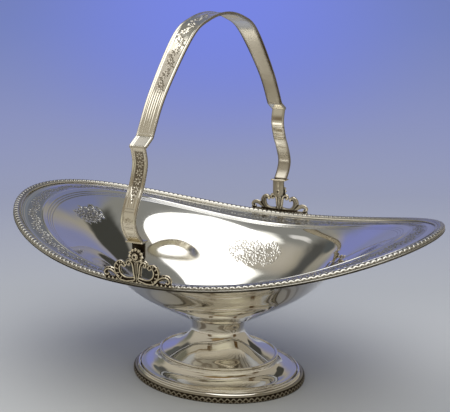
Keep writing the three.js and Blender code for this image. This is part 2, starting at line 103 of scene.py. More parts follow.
# Handle
HANDLE_RISE = 152.3
SHOULDER_OUT = 99.0
SHOULDER_UP = 77.0
STEP_OUT = 8.4
STEP_DOWN = 5.6
STEP_NECK = 0.9
ARCH_WIDTH = 13.2
CROWN_WIDTH = 16.8
LEG_WIDTH = 11.5
STRAP_THICKNESS = 1.4
STRAP_EDGE_HEIGHT = 0.7
ARCH_PROFILE = [(0.0, 1.0), (0.27, 0.95), (0.5, 0.808), (0.83, 0.35), (1.0, 0.0)]
LEG_SWAY = [(0, 0), (6, 0.113), (8.9, 0.253), (4.7, 0.45), (0, 0.6), (-3.1, 0.812), (0, 1)]
TANG_WIDTH = 9.6
TANG_THICKNESS = 1.8
CAP_HEIGHT = 1.2
CAP_OVER_PIVOT = 9.4
CAP_MARGIN = 0.9
LEG_FOOT_OUT = 2.7
HUSK_LENGTH = 6.4
HUSK_WIDTH = 3.0
SWING_GAP = 0.3
SEAM = 0.05
HEAD_GAP = 0.15
PIN_CLEARANCE = 0.08

edge_half_length = BOWL_HALF_LENGTH - WIRE_OUT
edge_half_width = BOWL_HALF_WIDTH - WIRE_OUT
pivot_height = RIM_HEIGHT + PIVOT_OVER_RIM
bracket_inner = BRACKET_OUTER - BRACKET_THICKNESS
bracket_middle = (BRACKET_OUTER + bracket_inner) / 2
tang_outer = bracket_inner - SWING_GAP
tang_inner = tang_outer - TANG_THICKNESS
cap_top = CAP_OVER_PIVOT + CAP_HEIGHT


# Lines

def lerp(a, b, share):
    return a + (b - a) * share


def smooth_step(low, high, value):
    share = np.clip((value - low) / (high - low), 0, 1)
    return share * share * (3 - 2 * share)


def plateau(value, start, full, wane, end):
    """Goes softly from 0 at start to 1 at full, and from 1 at wane back to 0 at end."""
    return smooth_step(start, full, value) * smooth_step(end, wane, value)


def peak(offset, reach):
    """1 at no offset, running out evenly to 0 at the reach."""
    return np.clip(1 - np.abs(offset) / reach, 0, 1)


def ridge(offset, reach):
    """1 at no offset, running out over a round back to 0 at the reach."""
    return np.sqrt(np.clip(1 - (offset / reach) ** 2, 0, 1))


def full_turn(steps):
    """Angles once round, evenly spaced."""
    return np.arange(steps) * 2 * math.pi / steps


def all_round(values, steps):
    """The same values at every step."""
    return np.repeat(np.asarray(values)[None], steps, axis=0)


def spread_over(values, count):
    """Values spread evenly over a count of places, with those between filled in."""
    values = np.atleast_1d(values)
    return np.interp(np.linspace(0, 1, count), np.linspace(0, 1, len(values)), values)


def curve(points, count):
    """A smooth curve through points, as count + 1 places."""
    points = np.asarray(points, float)
    last = len(points) - 1
    place = np.linspace(0, last, count + 1)
    k = np.minimum(place.astype(int), last - 1)
    t = (place - k)[:, None]
    before, here = points[np.maximum(k - 1, 0)], points[k]
    there, after = points[k + 1], points[np.minimum(k + 2, last)]
    leave, arrive = (there - before) / 2, (after - here) / 2
    return ((2 * here - 2 * there + leave + arrive) * t ** 3
            + (3 * there - 3 * here - 2 * leave - arrive) * t ** 2 + leave * t + here)


def lengths(line):
    """How far along a line each of its points is."""
    return np.r_[0, np.cumsum(np.linalg.norm(np.diff(line, axis=0), axis=1))]


def even(line, count):
    """The same line with its points evenly spaced."""
    along = lengths(line)
    places = np.linspace(0, along[-1], count + 1)
    return np.stack([np.interp(places, along, column) for column in line.T], axis=1)


def softened(line, passes):
    """A line with its small kinks smoothed out and its ends kept."""
    line = line.copy()
    for _ in range(passes):
        line[1:-1] = (line[:-2] + 2 * line[1:-1] + line[2:]) / 4
    return line


def left_of(line):
    """Unit vectors to the left of a flat line as it runs."""
    run = np.gradient(line, axis=0)
    run /= np.linalg.norm(run, axis=1, keepdims=True)
    return np.stack([-run[:, 1], run[:, 0]], axis=1)


def round_outline(middle, height, radius, sides):
    """A circle, or a shape near one where each of its points has its own radius."""
    angle = full_turn(sides)
    return np.stack([middle + radius * np.cos(angle), height + radius * np.sin(angle)], axis=1)


# Meshes

def mesh_piece(name, points, faces):
    mesh = bpy.data.meshes.new(name)
    mesh.from_pydata((np.asarray(points) * MM).tolist(), [], faces)
    mesh.update()
    mesh.shade_smooth()
    piece = bpy.data.objects.new(name, mesh)
    bpy.context.scene.collection.objects.link(piece)
    return piece


def grid_faces(rows, columns, row_loop=False, column_loop=True):
    """Faces over a grid of points, which may close on itself either way."""
    spans = np.arange(rows - (not row_loop)), np.arange(columns - (not column_loop))
    i, j = (index.ravel() for index in np.meshgrid(*spans, indexing="ij"))
    below, beside = (i + 1) % rows * columns, (j + 1) % columns
    return np.stack([i * columns + j, i * columns + beside, below + beside, below + j], axis=1).tolist()


def ring_solid(rows, loop):
    """Points and faces of a body skinned over rows of rings. Its ends are closed unless it is a loop."""
    rows = np.asarray(rows)
    count, columns = rows.shape[:2]
    faces = grid_faces(count, columns, row_loop=loop)
    points = rows.reshape(-1, 3)
    if not loop:
        faces.append(list(range(columns))[::-1])
        faces.append(list(range((count - 1) * columns, count * columns)))
    return points, faces


def together(solids):
    """Several bodies as one list of points and one of faces."""
    points, faces, start = [], [], 0
    for body_points, body_faces in solids:
        points.append(body_points)
        faces += [[corner + start for corner in face] for face in body_faces]
        start += len(body_points)
    return np.concatenate(points), faces


def mesh_values(items, key, width, kind=float):
    """One property of all of a mesh's points, edges or normals, as rows."""
    values = np.empty(len(items) * width, kind)
    items.foreach_get(key, values)
    return values.reshape(-1, width)


def add_point_values(mesh, name, values):
    layer = mesh.attributes.new(name, "FLOAT", "POINT")
    layer.data.foreach_set("value", values.astype(np.float32))


def add_tarnish_and_shade(mesh, spread, gain, base):
    """Stores how deep in a hollow each point lies, for the tarnish that polishing leaves behind.

    Base is the tarnish and painted shade of a point that lies in no hollow, one number or one for each point.
    """
    points = mesh_values(mesh.vertices, "co", 3) / MM
    normals = mesh_values(mesh.vertex_normals, "vector", 3)
    a, b = mesh_values(mesh.edges, "vertices", 2, int).T
    count = len(points)
    degree = np.maximum(np.bincount(np.r_[a, b], minlength=count), 1)

    def around(values):
        sums = [np.bincount(a, column[b], count) + np.bincount(b, column[a], count) for column in values.T]
        return np.stack(sums, axis=1) / degree[:, None]

    smooth = points
    for _ in range(spread):
        smooth = around(smooth)
    hollow = around(((smooth - points) * normals).sum(axis=1, keepdims=True))[:, 0]
    add_point_values(mesh, "tarnish_and_shade", np.clip(base + hollow * gain, 0, 1))


def silver_piece(name, solid, body, slot, material, node, stain_and_shade=0.0, spread=2, gain=0.0):
    """A piece of silver with its tarnish and painted shade. It rides on a body and stands for one solid."""
    piece = mesh_piece(name, *solid)
    add_tarnish_and_shade(piece.data, spread, gain, stain_and_shade)
    piece.data.materials.append(material)
    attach(piece, body)
    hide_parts(node)


def silver_pair(name, solid, body, slot, material, node, stain_and_shade, spread=2, gain=0.0):
    """A piece at the front hinge, and the same one turned round for the back hinge."""
    points, faces = solid
    for hinge, turn in (("front", 1), ("back", -1)):
        facing = points * (turn, turn, 1), faces
        silver_piece(f"{name}_{hinge}", facing, body, slot, material, f"{node}_{hinge}", stain_and_shade, spread, gain)


# Shaders

def node(tree, kind, inputs=None, **settings):
    """A new node. Inputs holds, by name or number, a constant for a socket or the output that feeds it."""
    made = tree.nodes.new(kind)
    for key, value in settings.items():
        setattr(made, key, value)
    for socket, value in (inputs or {}).items():
        if isinstance(value, bpy.types.NodeSocket):
            tree.links.new(value, made.inputs[socket])
        else:
            made.inputs[socket].default_value = value
    return made


def maths(tree, operation, *values, clamp=False):
    """What an operation makes of numbers, each a constant or an output."""
    made = node(tree, "ShaderNodeMath", dict(enumerate(values)), operation=operation, use_clamp=clamp)
    return made.outputs[0]


def vector_maths(tree, operation, *values):
    """What an operation makes of vectors, each a constant or an output. Some give a number."""
    made = node(tree, "ShaderNodeVectorMath", dict(enumerate(values)), operation=operation)
    return made.outputs["Value" if operation in ("DOT_PRODUCT", "LENGTH", "DISTANCE") else "Vector"]


def mixed(tree, factor, a, b):
    """A blend of two colours, each a constant or an output."""
    a, b = ((*value, 1) if isinstance(value, tuple) else value for value in (a, b))
    return node(tree, "ShaderNodeMix", {"Factor": factor, "A": a, "B": b}, data_type="RGBA").outputs["Result"]


def ranged(tree, value, low, high):
    """Goes softly from 0 at low to 1 at high."""
    ends = {"Value": value, "From Min": low, "From Max": high}
    return node(tree, "ShaderNodeMapRange", ends, interpolation_type="SMOOTHSTEP").outputs["Result"]


def noise(tree, place, scale, detail):
    return node(tree, "ShaderNodeTexNoise", {"Vector": place, "Scale": scale, "Detail": detail})


FILM = (0.97, 0.94, 0.86)
TARNISH_SCALE = 38.0
WIPING_SCALE = 420.0
SWELL_SCALE = 26.0


def silver(name, tint, stain_and_shade, roughness, dulling, waver):
    """Polished metal that keeps tarnish in its hollows and takes the painted shade a piece stores, with faint
    wiping marks and an uneven face.
    """
    material = bpy.data.materials.new(name)
    material.use_nodes = True
    tree = material.node_tree
    place = node(tree, "ShaderNodeTexCoord").outputs["Object"]
    cloud = noise(tree, place, TARNISH_SCALE, 4.0).outputs["Fac"]
    # This attribute holds tarnish in hollows and, on several pieces, painted shade.
    tarnish_and_shade = node(tree, "ShaderNodeAttribute", attribute_name="tarnish_and_shade").outputs["Fac"]
    depth = maths(tree, "MULTIPLY", tarnish_and_shade, maths(tree, "MULTIPLY_ADD", cloud, 0.5, 0.75), clamp=True)
    film = mixed(tree, cloud, tint, tuple(channel * share for channel, share in zip(tint, FILM)))
    wiping = noise(tree, place, WIPING_SCALE, 6.0).outputs["Fac"]
    gloss = maths(tree, "MULTIPLY_ADD", wiping, roughness, roughness * 0.5)
    swell = noise(tree, place, SWELL_SCALE, 1.0).outputs["Fac"]
    bump = node(tree, "ShaderNodeBump", {"Strength": 1.0, "Distance": waver * MM, "Height": swell})
    shader = tree.nodes["Principled BSDF"]
    shader.inputs["Metallic"].default_value = 1.0
    tree.links.new(mixed(tree, depth, film, stain_and_shade), shader.inputs["Base Color"])
    tree.links.new(maths(tree, "MULTIPLY_ADD", depth, dulling, gloss, clamp=True), shader.inputs["Roughness"])
    tree.links.new(bump.outputs["Normal"], shader.inputs["Normal"])
    return material


bowl_silver = silver("bowl_silver", (0.86, 0.86, 0.85), (0.10, 0.09, 0.07), 0.05, 0.45, 0.12)
foot_silver = silver("foot_silver", (0.86, 0.84, 0.8), (0.12, 0.10, 0.07), 0.05, 0.4, 0.14)
strap_silver = silver("strap_silver", (0.86, 0.83, 0.75), (0.10, 0.07, 0.04), 0.11, 0.5, 0.06)
rim_silver = silver("rim_silver", (0.77, 0.76, 0.72), (0.04, 0.034, 0.026), 0.14, 0.5, 0.03)
cast_silver = silver("cast_silver", (0.74, 0.69, 0.58), (0.03, 0.02, 0.012), 0.16, 0.5, 0.03)


# Ornament, as heights over a surface

STEM_HALF_WIDTH = 0.45
STEM_DEPTH = 0.7
LEAF_LEAN = math.radians(52)
FLOWER_PETALS = 7
FLOWER_RADIUS = 1.7
PETAL_WIDTH = 1.25
FLOWER_CLEARANCE = 2.9
TARNISHED_DEPTH = 0.2


def cut_leaf(x, y, centre, angle, length, width):
    """A bright-cut leaf: 1 along its spine, running out to 0 at its edges."""
    c, s = math.cos(angle), math.sin(angle)
    along = ((x - centre[0]) * c + (y - centre[1]) * s) / (length / 2)
    across = ((y - centre[1]) * c - (x - centre[0]) * s) / (width / 2)
    return np.clip(1 - along ** 2 - np.abs(across), 0, 1)


def rosette(x, y, centre, petals, radius, width):
    """Cut petals round a centre."""
    depth = np.zeros_like(x)
    for angle in full_turn(petals):
        middle = (centre[0] + radius * math.cos(angle), centre[1] + radius * math.sin(angle))
        depth = np.maximum(depth, cut_leaf(x, y, middle, angle, radius * 1.5, width))
    return depth


def vine(x, y, period, sway, leaf, pairs):
    """A waved stem with cut leaves on both sides, and a rosette at each crossing of the middle."""
    wave = 2 * math.pi / period
    half = leaf / 2
    depth = STEM_DEPTH * peak(y - sway * np.sin(wave * x), STEM_HALF_WIDTH)
    place = np.mod(x, period)
    for n in range(pairs * 2):
        at = (n + 0.5) * period / (pairs * 2)
        side = 1 if n % 2 else -1
        angle = math.atan(sway * wave * math.cos(wave * at)) + side * LEAF_LEAN
        middle = (at + math.cos(angle) * half, sway * math.sin(wave * at) + math.sin(angle) * half)
        for shift in (-period, 0, period):
            depth = np.maximum(depth, cut_leaf(place + shift, y, middle, angle, leaf, half))
    for middle in (0, period / 2, period):
        flower = rosette(place, y, (middle, 0), FLOWER_PETALS, FLOWER_RADIUS, PETAL_WIDTH)
        clear = np.clip((np.hypot(place - middle, y) - FLOWER_CLEARANCE) / 0.4, 0, 1)
        depth = np.maximum(depth * clear, flower)
    return depth


def kept_tarnish(pattern):
    """How dark the edges of a cut pattern stay."""
    return peak(pattern - TARNISHED_DEPTH, TARNISHED_DEPTH)


def lattice(place, across, width, turns):
    """Ribbons that cross on a roll, each with a round back. Place counts them, and their width is a share."""
    lobes = (np.mod(place + lean * across, 1) * 2 - 1 for lean in (-turns, turns))
    return np.maximum(*(ridge(lobe, width) for lobe in lobes))


# Bowl

flange_half_length = edge_half_length - FLANGE_WIDTH_AT_END
flange_half_width = edge_half_width - FLANGE_WIDTH_AT_SIDE
edge_height = RIM_HEIGHT - BOWL_SHEET
flange_height = edge_height - FLANGE_DROP

PROFILE_STEPS = 600
profile = softened(even(curve(WELL_PROFILE, PROFILE_STEPS), PROFILE_STEPS), 900)


def oval_point(half_length, half_width, fullness, height, rise, angle):
    along = np.cos(angle)
    across = np.sqrt(np.clip(1 - np.abs(along) ** fullness, 0, 1)) * np.sign(np.sin(angle))
    return np.stack([half_length * along, half_width * across, height + rise * along ** 2], axis=-1)


def underside(place, angle):
    """The bowl's underside, from place 0 at its middle to 1 at the flange's crease and 2 at the edge."""
    steps = np.clip(place, 0, 1) * PROFILE_STEPS
    out, up = (np.interp(steps, np.arange(PROFILE_STEPS + 1), column) for column in profile.T)
    share = np.maximum(out, 0)
    half_length = np.maximum(lerp(SEAT_HALF_LENGTH, flange_half_length, out), 0.01)
    half_width = half_length * lerp(FOOT_ASPECT, flange_half_width / flange_half_length, share)
    square = SEAT_HALF_LENGTH ** 2
    rise = END_RISE * np.maximum(half_length ** 2 - square, 0) / (flange_half_length ** 2 - square)
    height = lerp(SEAT_HEIGHT, flange_height, up)
    well = oval_point(half_length, half_width, lerp(2, WELL_FULLNESS, share), height, rise, angle)
    edge = oval_point(edge_half_length, edge_half_width, RIM_FULLNESS, edge_height, END_RISE, angle)
    return well + (edge - well) * np.clip(place - 1, 0, 1)[..., None]


def bowl_normal(place, angle):
    """Square up from the sheet. At the crease it is the well's."""
    step = 0.004
    inner = np.where(place > 1, 1.0, 0.0)
    low, high = np.maximum(place - step, inner), np.minimum(place + step, inner + 1)
    out = underside(high, angle) - underside(low, angle)
    round_about = underside(place, angle + step) - underside(place, angle - step)
    normal = np.cross(out, round_about)
    return normal / np.maximum(np.linalg.norm(normal, axis=-1, keepdims=True), 1e-9)


COLUMNS = 480
FINE = 4
TABLE_STEPS = 7200
angle_table = np.linspace(0, 2 * math.pi, TABLE_STEPS + 1)
edge_along = lengths(underside(np.full(TABLE_STEPS + 1, 2.0), angle_table))
perimeter = edge_along[-1]


def edge_angles(count):
    """Angles that part the edge into even lengths."""
    return np.interp(np.arange(count) * perimeter / count, edge_along, angle_table)


def flange_width(angle):
    inner, outer = (underside(np.full_like(angle, place), angle) for place in (1.0, 2.0))
    return np.linalg.norm(outer - inner, axis=-1)


# Engraving in the bowl. A vine has its period, its sway, its length of leaf and its pairs of leaves, and
# in a spray its shifts along and across come first. Slopes say how much longer the sheet is than its plan.
BAND_MIDDLE = 0.345
BAND_HALF_WIDTH = 5.4
BAND_REPEATS = 34
BAND_TARNISH = 0.62
BAND_GROUND = 0.36
CUT_DEPTH = 0.42
THREAD_PLACES = (0.705, 0.745)
THREAD_HEIGHT = 0.2
CREASE_THREAD = 0.035
CREASE_HEIGHT = 0.42
WELL_LINES = (0.984, 0.973, 0.962)
WELL_LINE_DEPTH = 0.13
SPRAY_LIMIT = 0.95
SPRAY_GROUND = 0.5
END_SPRAY_PLACE = 119.0
END_SPRAY_SIZE = (14.0, 10.0)
END_SLOPE = 1.08
END_VINES = ((0, 0, 15, 3.0, 4.4, 4), (4, -5.5, 13, 1.6, 3.6, 4), (-3, 5.5, 14, 1.6, 3.6, 4))
SIDE_SPRAY_PLACE = 65.0
SIDE_SPRAY_SIZE = (24.0, 12.0)
SIDE_SPRAY_DEPTH = 0.55
SIDE_SLOPE = 1.35
SIDE_VINES = ((0, 0, 17, 2.2, 3.6, 5), (5, -6.5, 14, 1.6, 3.6, 4), (-3, 6.5, 15, 1.6, 3.6, 4))


def band_pattern(place, width, along):
    """The engraved band that runs round the flange, and where it lies."""
    y = (place - 1 - BAND_MIDDLE) * width
    period = perimeter / BAND_REPEATS
    leaves = vine(along, y, period, 2.4, 3.5, 7)
    leaves = np.maximum(leaves, vine(along + period / 4, -y, period, 3.3, 2.6, 6))
    inside = smooth_step(BAND_HALF_WIDTH + 0.3, BAND_HALF_WIDTH - 0.3, np.abs(y))
    return leaves * inside, inside * (place > 1.01)


def spray(along, across, size, vines, depth, tarnish, ground, flower=0.0):
    """Vines over each other within an oval: their depth, and the tarnish of the cuts and of their ground."""
    inside = np.clip(1 - np.hypot(along / size[0], across / size[1]), 0, 1)
    cuts = [vine(along + shift, across + lift, *shape) for shift, lift, *shape in vines]
    cut = np.maximum(np.max(cuts, axis=0), flower) * depth * (inside > 0)
    return cut, tarnish * kept_tarnish(cut) + np.minimum(ground * inside, SPRAY_GROUND)


def spray_pattern(points):
    """Depth and tarnish of the sprays of flowers in the well, one at each end and one on each side."""
    x, y = points[..., 0], points[..., 1]
    across = (np.abs(x) - END_SPRAY_PLACE) * END_SLOPE
    end_cut, end_stain = spray(y, across, END_SPRAY_SIZE, END_VINES, 1.0, 0.9, 0.8)
    across = (np.abs(y) - SIDE_SPRAY_PLACE) * SIDE_SLOPE
    flower = rosette(x, across, (0, 0), 8, 3.2, 2.2)
    side_cut, side_stain = spray(x, across, SIDE_SPRAY_SIZE, SIDE_VINES, SIDE_SPRAY_DEPTH, 0.45, 0.16, flower)
    return end_cut + side_cut, end_stain + side_stain


def bowl_relief(place, angle, along, points):
    """Height of the ornament over the bowl's upper side, and the tarnish that it keeps."""
    width = flange_width(angle)
    band, in_band = band_pattern(place, width, along)
    sprays, spray_stain = spray_pattern(points)
    in_well = place < SPRAY_LIMIT
    height = -CUT_DEPTH * (band + sprays * in_well)
    stain_and_shade = (BAND_TARNISH * kept_tarnish(band) + BAND_GROUND) * in_band + spray_stain * in_well
    for thread in THREAD_PLACES:
        off = (place - 1 - thread) * width
        height += THREAD_HEIGHT * ridge(off, 0.42) ** 2
        # A painted shadow line runs just beside each thread.
        stain_and_shade += 0.4 * peak(off - 0.7, 0.4)
    height += CREASE_HEIGHT * ridge((place - 1 - CREASE_THREAD) * width, 0.75)
    for line in WELL_LINES:
        cut = peak(place - line, 0.0028)
        height -= WELL_LINE_DEPTH * cut
        stain_and_shade += 0.35 * cut
    return height, stain_and_shade


def well_rows():
    """Places of the rows on the upper side and on the underside."""
    smooth = np.linspace(0.012, 0.945, 74)
    lined = np.linspace(0.9475, 1.0, 22)
    flange = np.linspace(1.0, 1.79, 13)[1:]
    covered = [1.86, 2.0]
    below = np.r_[1.995, 1.8, 1.5, 1.2, 1.0, np.linspace(0.985, 0.02, 62)]
    return np.r_[smooth, lined, flange, covered], below


def stepped_faces(rows, columns, refined):
    """Faces of a band of cells, each whole or cut FINE by FINE, over the fine lattice of points."""
    width = columns * FINE

    def at(row, column):
        return row * width + column % width

    faces = []
    i, j = np.nonzero(refined)
    for a in range(FINE):
        for b in range(FINE):
            row, column = i * FINE + a, j * FINE + b
            corners = [at(row, column), at(row, column + 1), at(row + 1, column + 1), at(row + 1, column)]
            faces += np.stack(corners, axis=1).tolist()
    none = np.zeros((1, columns), bool)
    beside = [
        np.vstack([none, refined[:-1]]), np.roll(refined, -1, axis=1),
        np.vstack([refined[1:], none]), np.roll(refined, 1, axis=1),
    ]
    for i, j in zip(*np.nonzero(~refined)):
        row, column = i * FINE, j * FINE
        corners = [(row, column), (row, column + FINE), (row + FINE, column + FINE), (row + FINE, column)]
        face = []
        for side, (start, stop) in enumerate(zip(corners, corners[1:] + corners[:1])):
            steps = FINE if beside[side][i, j] else 1
            for k in range(steps):
                face.append(at(start[0] + (stop[0] - start[0]) * k // steps,
                               start[1] + (stop[1] - start[1]) * k // steps))
        faces.append(face)
    return faces


def make_bowl():
    top, below = well_rows()
    places = np.r_[top, below]
    sides = np.r_[np.ones(len(top)), np.zeros(len(below))]
    rows = len(places) - 1
    on_flange = (places[:-1] >= 1.0) & (places[1:] <= 1.8) & (sides[1:] > 0)
    middle = ((places[:-1] + places[1:]) / 2)[:, None] * np.ones(COLUMNS)
    cell_middles = underside(middle, edge_angles(COLUMNS) * np.ones((rows, 1)))
    in_spray = (spray_pattern(cell_middles)[1] > 0) & (sides[:-1] > 0)[:, None] & (middle < 0.94)
    faces = stepped_faces(rows, COLUMNS, on_flange[:, None] | in_spray)
    used = np.unique([corner for face in faces for corner in face])
    order = {corner: k for k, corner in enumerate(used.tolist())}
    faces = [[order[corner] for corner in face] for face in faces]
    row, column = used // (COLUMNS * FINE) / FINE, used % (COLUMNS * FINE)
    place, side = (np.interp(row, np.arange(rows + 1), values) for values in (places, sides))
    angle = edge_angles(COLUMNS * FINE)[column]
    points = underside(place, angle)
    relief, stain_and_shade = bowl_relief(place, angle, column * perimeter / (COLUMNS * FINE), points)
    above = side > 0.5
    points += bowl_normal(place, angle) * (side * BOWL_SHEET + relief * above)[:, None]
    first, last = np.flatnonzero(row == 0), np.flatnonzero(row == rows)
    hub = len(points)
    points = np.vstack([points, points[first].mean(axis=0), points[last].mean(axis=0)])
    faces += [[hub, b, a] for a, b in zip(first.tolist(), np.roll(first, -1).tolist())]
    faces += [[hub + 1, a, b] for a, b in zip(last.tolist(), np.roll(last, -1).tolist())]
    solid = points, [face[::-1] for face in faces]
    stain_and_shade = np.r_[stain_and_shade * above, 0, 0]
    silver_piece("engraved_bowl", solid, "basket", "polished_silver", bowl_silver, "bowl", stain_and_shade, 3, 4.0)


# Mouldings on the edge

WIRE_STEPS = 720
RIM_RIBBON_REPEATS = 216
RIM_RIBBON_STEPS = 12
RIM_RIBBON_DEPTH = 0.38
# Inwards as shares of the border's width, and up as shares of its height
RIM_BORDER_PROFILE = [
    (0.03, 0.02), (0.0, 0.3), (0.1, 0.74), (0.34, 0.97), (0.58, 0.8), (0.72, 0.42),
    (0.8, 0.5), (0.88, 0.64), (0.96, 0.5), (1.0, 0.1),
]


def edge_moulding(name, sections, slot, stain_and_shade, node):
    """A moulding round the edge. Sections holds, at each place along it, distances out and up."""
    angle = edge_angles(len(sections))
    edge = np.full(len(sections), 2.0)
    up = bowl_normal(edge, angle)
    point = underside(edge, angle) + up * BOWL_SHEET
    run = np.roll(point, -1, axis=0) - np.roll(point, 1, axis=0)
    run /= np.linalg.norm(run, axis=1, keepdims=True)
    out = np.cross(run, up)
    rows = point[:, None] + out[:, None] * sections[..., :1] + up[:, None] * sections[..., 1:]
    silver_piece(name, ring_solid(rows, loop=True), "basket", slot, rim_silver, node, stain_and_shade.ravel())


def make_rim_wire():
    angle = full_turn(16)
    out = SEAM + (WIRE_OUT - SEAM) * (0.5 + 0.5 * np.cos(angle))
    down = SEAM + (WIRE_DEPTH - SEAM) * (0.5 - 0.5 * np.sin(angle))
    sections = all_round(np.stack([out, -down], axis=1), WIRE_STEPS)
    # The wire's lower half is painted darker as shade under it.
    stain_and_shade = all_round(0.25 + 0.7 * smooth_step(0.4, 0.9, down), WIRE_STEPS)
    edge_moulding("edge_wire", sections, "polished_silver", stain_and_shade, "rim_wire")


def make_rim_border():
    """A roll of crossing ribbons, with a groove and a small bead inside it."""
    top = curve(RIM_BORDER_PROFILE, 25)
    under = np.linspace((0.8, 0.02), (0.2, 0.02), 4)
    shape = np.vstack([top, under])
    out = WIRE_OUT - BORDER_INSET - BORDER_WIDTH * shape[:, 0]
    section = np.stack([out, BORDER_SEAT + BORDER_HEIGHT * 0.95 * shape[:, 1]], axis=1)
    share = np.r_[lengths(top) / lengths(top)[-1], np.ones(len(under))]
    place = np.arange(RIM_RIBBON_REPEATS * RIM_RIBBON_STEPS)[:, None] / RIM_RIBBON_STEPS
    valley = (1 - lattice(place, share / 0.6, 0.58, 0.8)) * plateau(share, 0.02, 0.12, 0.54, 0.62)
    sections = section + left_of(section) * (valley * RIM_RIBBON_DEPTH)[..., None]
    # The valleys and the groove keep tarnish; the outer face and underside are painted darker as shade.
    shaded_outer_face = np.r_[smooth_step(0.12, 0.06, share[:len(top)]), np.ones(len(under))]
    stain_and_shade = np.clip(0.1 + valley * 0.75 + peak(share - 0.66, 0.07) * 0.6 + shaded_outer_face * 0.35, 0, 1)
    edge_moulding("ribbon_border", sections, "cast_silver", stain_and_shade, "rim_border")


# Foot

FOOT_STEPS = 360
# Outwards from the neck to the stem's edge, and up from the shoulder to the neck, as shares
STEM_PROFILE = [(0.84, 0.13), (0.52, 0.29), (0.24, 0.53), (0.06, 0.8), (0.0, 1.0)]
# Outwards from the shoulder to the dish's edge, and up from the edge to the shoulder, as shares
DISH_PROFILE = [(0.0, 1.0), (0.12, 0.6), (0.37, 0.2), (0.7, -0.03), (1.0, -0.05)]
DISH_CORNER = 0.5
LIP_RADIUS = 0.75
REED_PINCH = 0.22
# Inwards from the foot's edge, and up
FOOT_BORDER_PROFILE = [(0.5, 0.0), (0.02, 0.9), (0.1, 2.9), (0.8, 4.2), (1.5, 4.55), (2.1, 5.2)]
FOOT_RIBBON_REPEATS = 92
FOOT_RIBBON_STEPS = 16
FOOT_RIBBON_DEPTH = 0.5

skirt_top = FOOT_BORDER_HEIGHT - SEAM
skirt_half_length = FOOT_HALF_LENGTH - FOOT_BORDER_WIDTH - SEAM
lip_half_length = DISH_EDGE_HALF_LENGTH + 1.0


def foot_piece(name, node, sections, stain_and_shade=0.0, gain=0.0, slot="polished_silver", material=foot_silver):
    """Outlines of half lengths and heights, set round the foot's oval."""
    angle = full_turn(len(sections))[:, None]
    radius, height = sections[..., 0], sections[..., 1]
    rows = np.stack([radius * np.cos(angle), radius * FOOT_ASPECT * np.sin(angle), height], axis=-1)
    stain_and_shade = np.broadcast_to(stain_and_shade, radius.shape).ravel()
    silver_piece(name, ring_solid(rows, loop=True), "basket", slot, material, node, stain_and_shade, 3, gain)


def make_foot_stem():
    edge = SHOULDER_HALF_LENGTH - 2 * SHOULDER_WIRE_RADIUS - SEAM
    top = SEAT_HEIGHT - SEAM
    low, high = SHOULDER_HEIGHT, NECK_HEIGHT
    flare = [(lerp(NECK_HALF_LENGTH, edge, a), lerp(low, high, b)) for a, b in STEM_PROFILE]
    outline = curve([(edge, SHOULDER_HEIGHT + FOOT_SHEET), *flare, (NECK_TOP_HALF_LENGTH, top)], 300)
    outside = softened(even(outline, 120), 40)
    inside = outside + left_of(outside) * FOOT_SHEET
    inside[0] = (edge, SHOULDER_HEIGHT + SEAM)
    inside[-1] = (NECK_TOP_HALF_LENGTH - FOOT_SHEET, top)
    sections = all_round(np.vstack([outside, inside[::-3]]), FOOT_STEPS)
    foot_piece("pedestal_stem", "foot_stem", sections, gain=1.0)


def make_foot_bead():
    radius = SHOULDER_WIRE_RADIUS
    outline = round_outline(SHOULDER_HALF_LENGTH - radius, SHOULDER_HEIGHT + SEAM + radius, radius, 20)
    foot_piece("shoulder_wire", "foot_bead", all_round(outline, FOOT_STEPS))


def make_foot_base():
    """The dish with its rounded shoulder and lip, over a plainer underside."""
    start, end = SHOULDER_HALF_LENGTH, DISH_EDGE_HALF_LENGTH
    low, high = DISH_EDGE_HEIGHT, SHOULDER_HEIGHT - SHOULDER_STEP
    dish = curve([(lerp(start, end, a), lerp(low, high, b)) for a, b in DISH_PROFILE], 60)
    shoulder = [(start - SHOULDER_LAP, SHOULDER_HEIGHT), (start - DISH_CORNER, SHOULDER_HEIGHT)]
    corner = round_outline(start - DISH_CORNER, SHOULDER_HEIGHT - DISH_CORNER, DISH_CORNER, 16)[4::-1]
    lip = round_outline(end - 0.2, low - 0.55, LIP_RADIUS, 16)[5::-1]
    skirt = [(lip_half_length, skirt_top + REED_RADIUS), (skirt_half_length, skirt_top)]
    over = np.vstack([shoulder, corner, dish[1:-2], lip, skirt])
    under = softened(even(np.vstack([shoulder, dish, skirt]), 60), 6) - (0.25, FOOT_SHEET)
    under[-1] = (skirt_half_length, skirt_top - FOOT_SHEET)
    outline = np.vstack([over[::-1], under])[::-1]
    foot_piece("dished_base", "foot_base", all_round(outline, FOOT_STEPS), gain=1.0)


def make_foot_reed():
    """A round reed, a little flattened on four sides of its section."""
    angle = full_turn(24)
    radius = REED_RADIUS * (1 - REED_PINCH * np.cos(2 * angle - 1.2) ** 8)
    middle = (lip_half_length + skirt_half_length) / 2
    outline = round_outline(middle, skirt_top + 2 * REED_RADIUS, radius, 24)
    # Painted shade on the underside of the reed.
    stain_and_shade = 0.8 * smooth_step(-0.35, -0.75, np.sin(angle))
    foot_piece("base_reed", "foot_reed", all_round(outline, FOOT_STEPS), stain_and_shade)


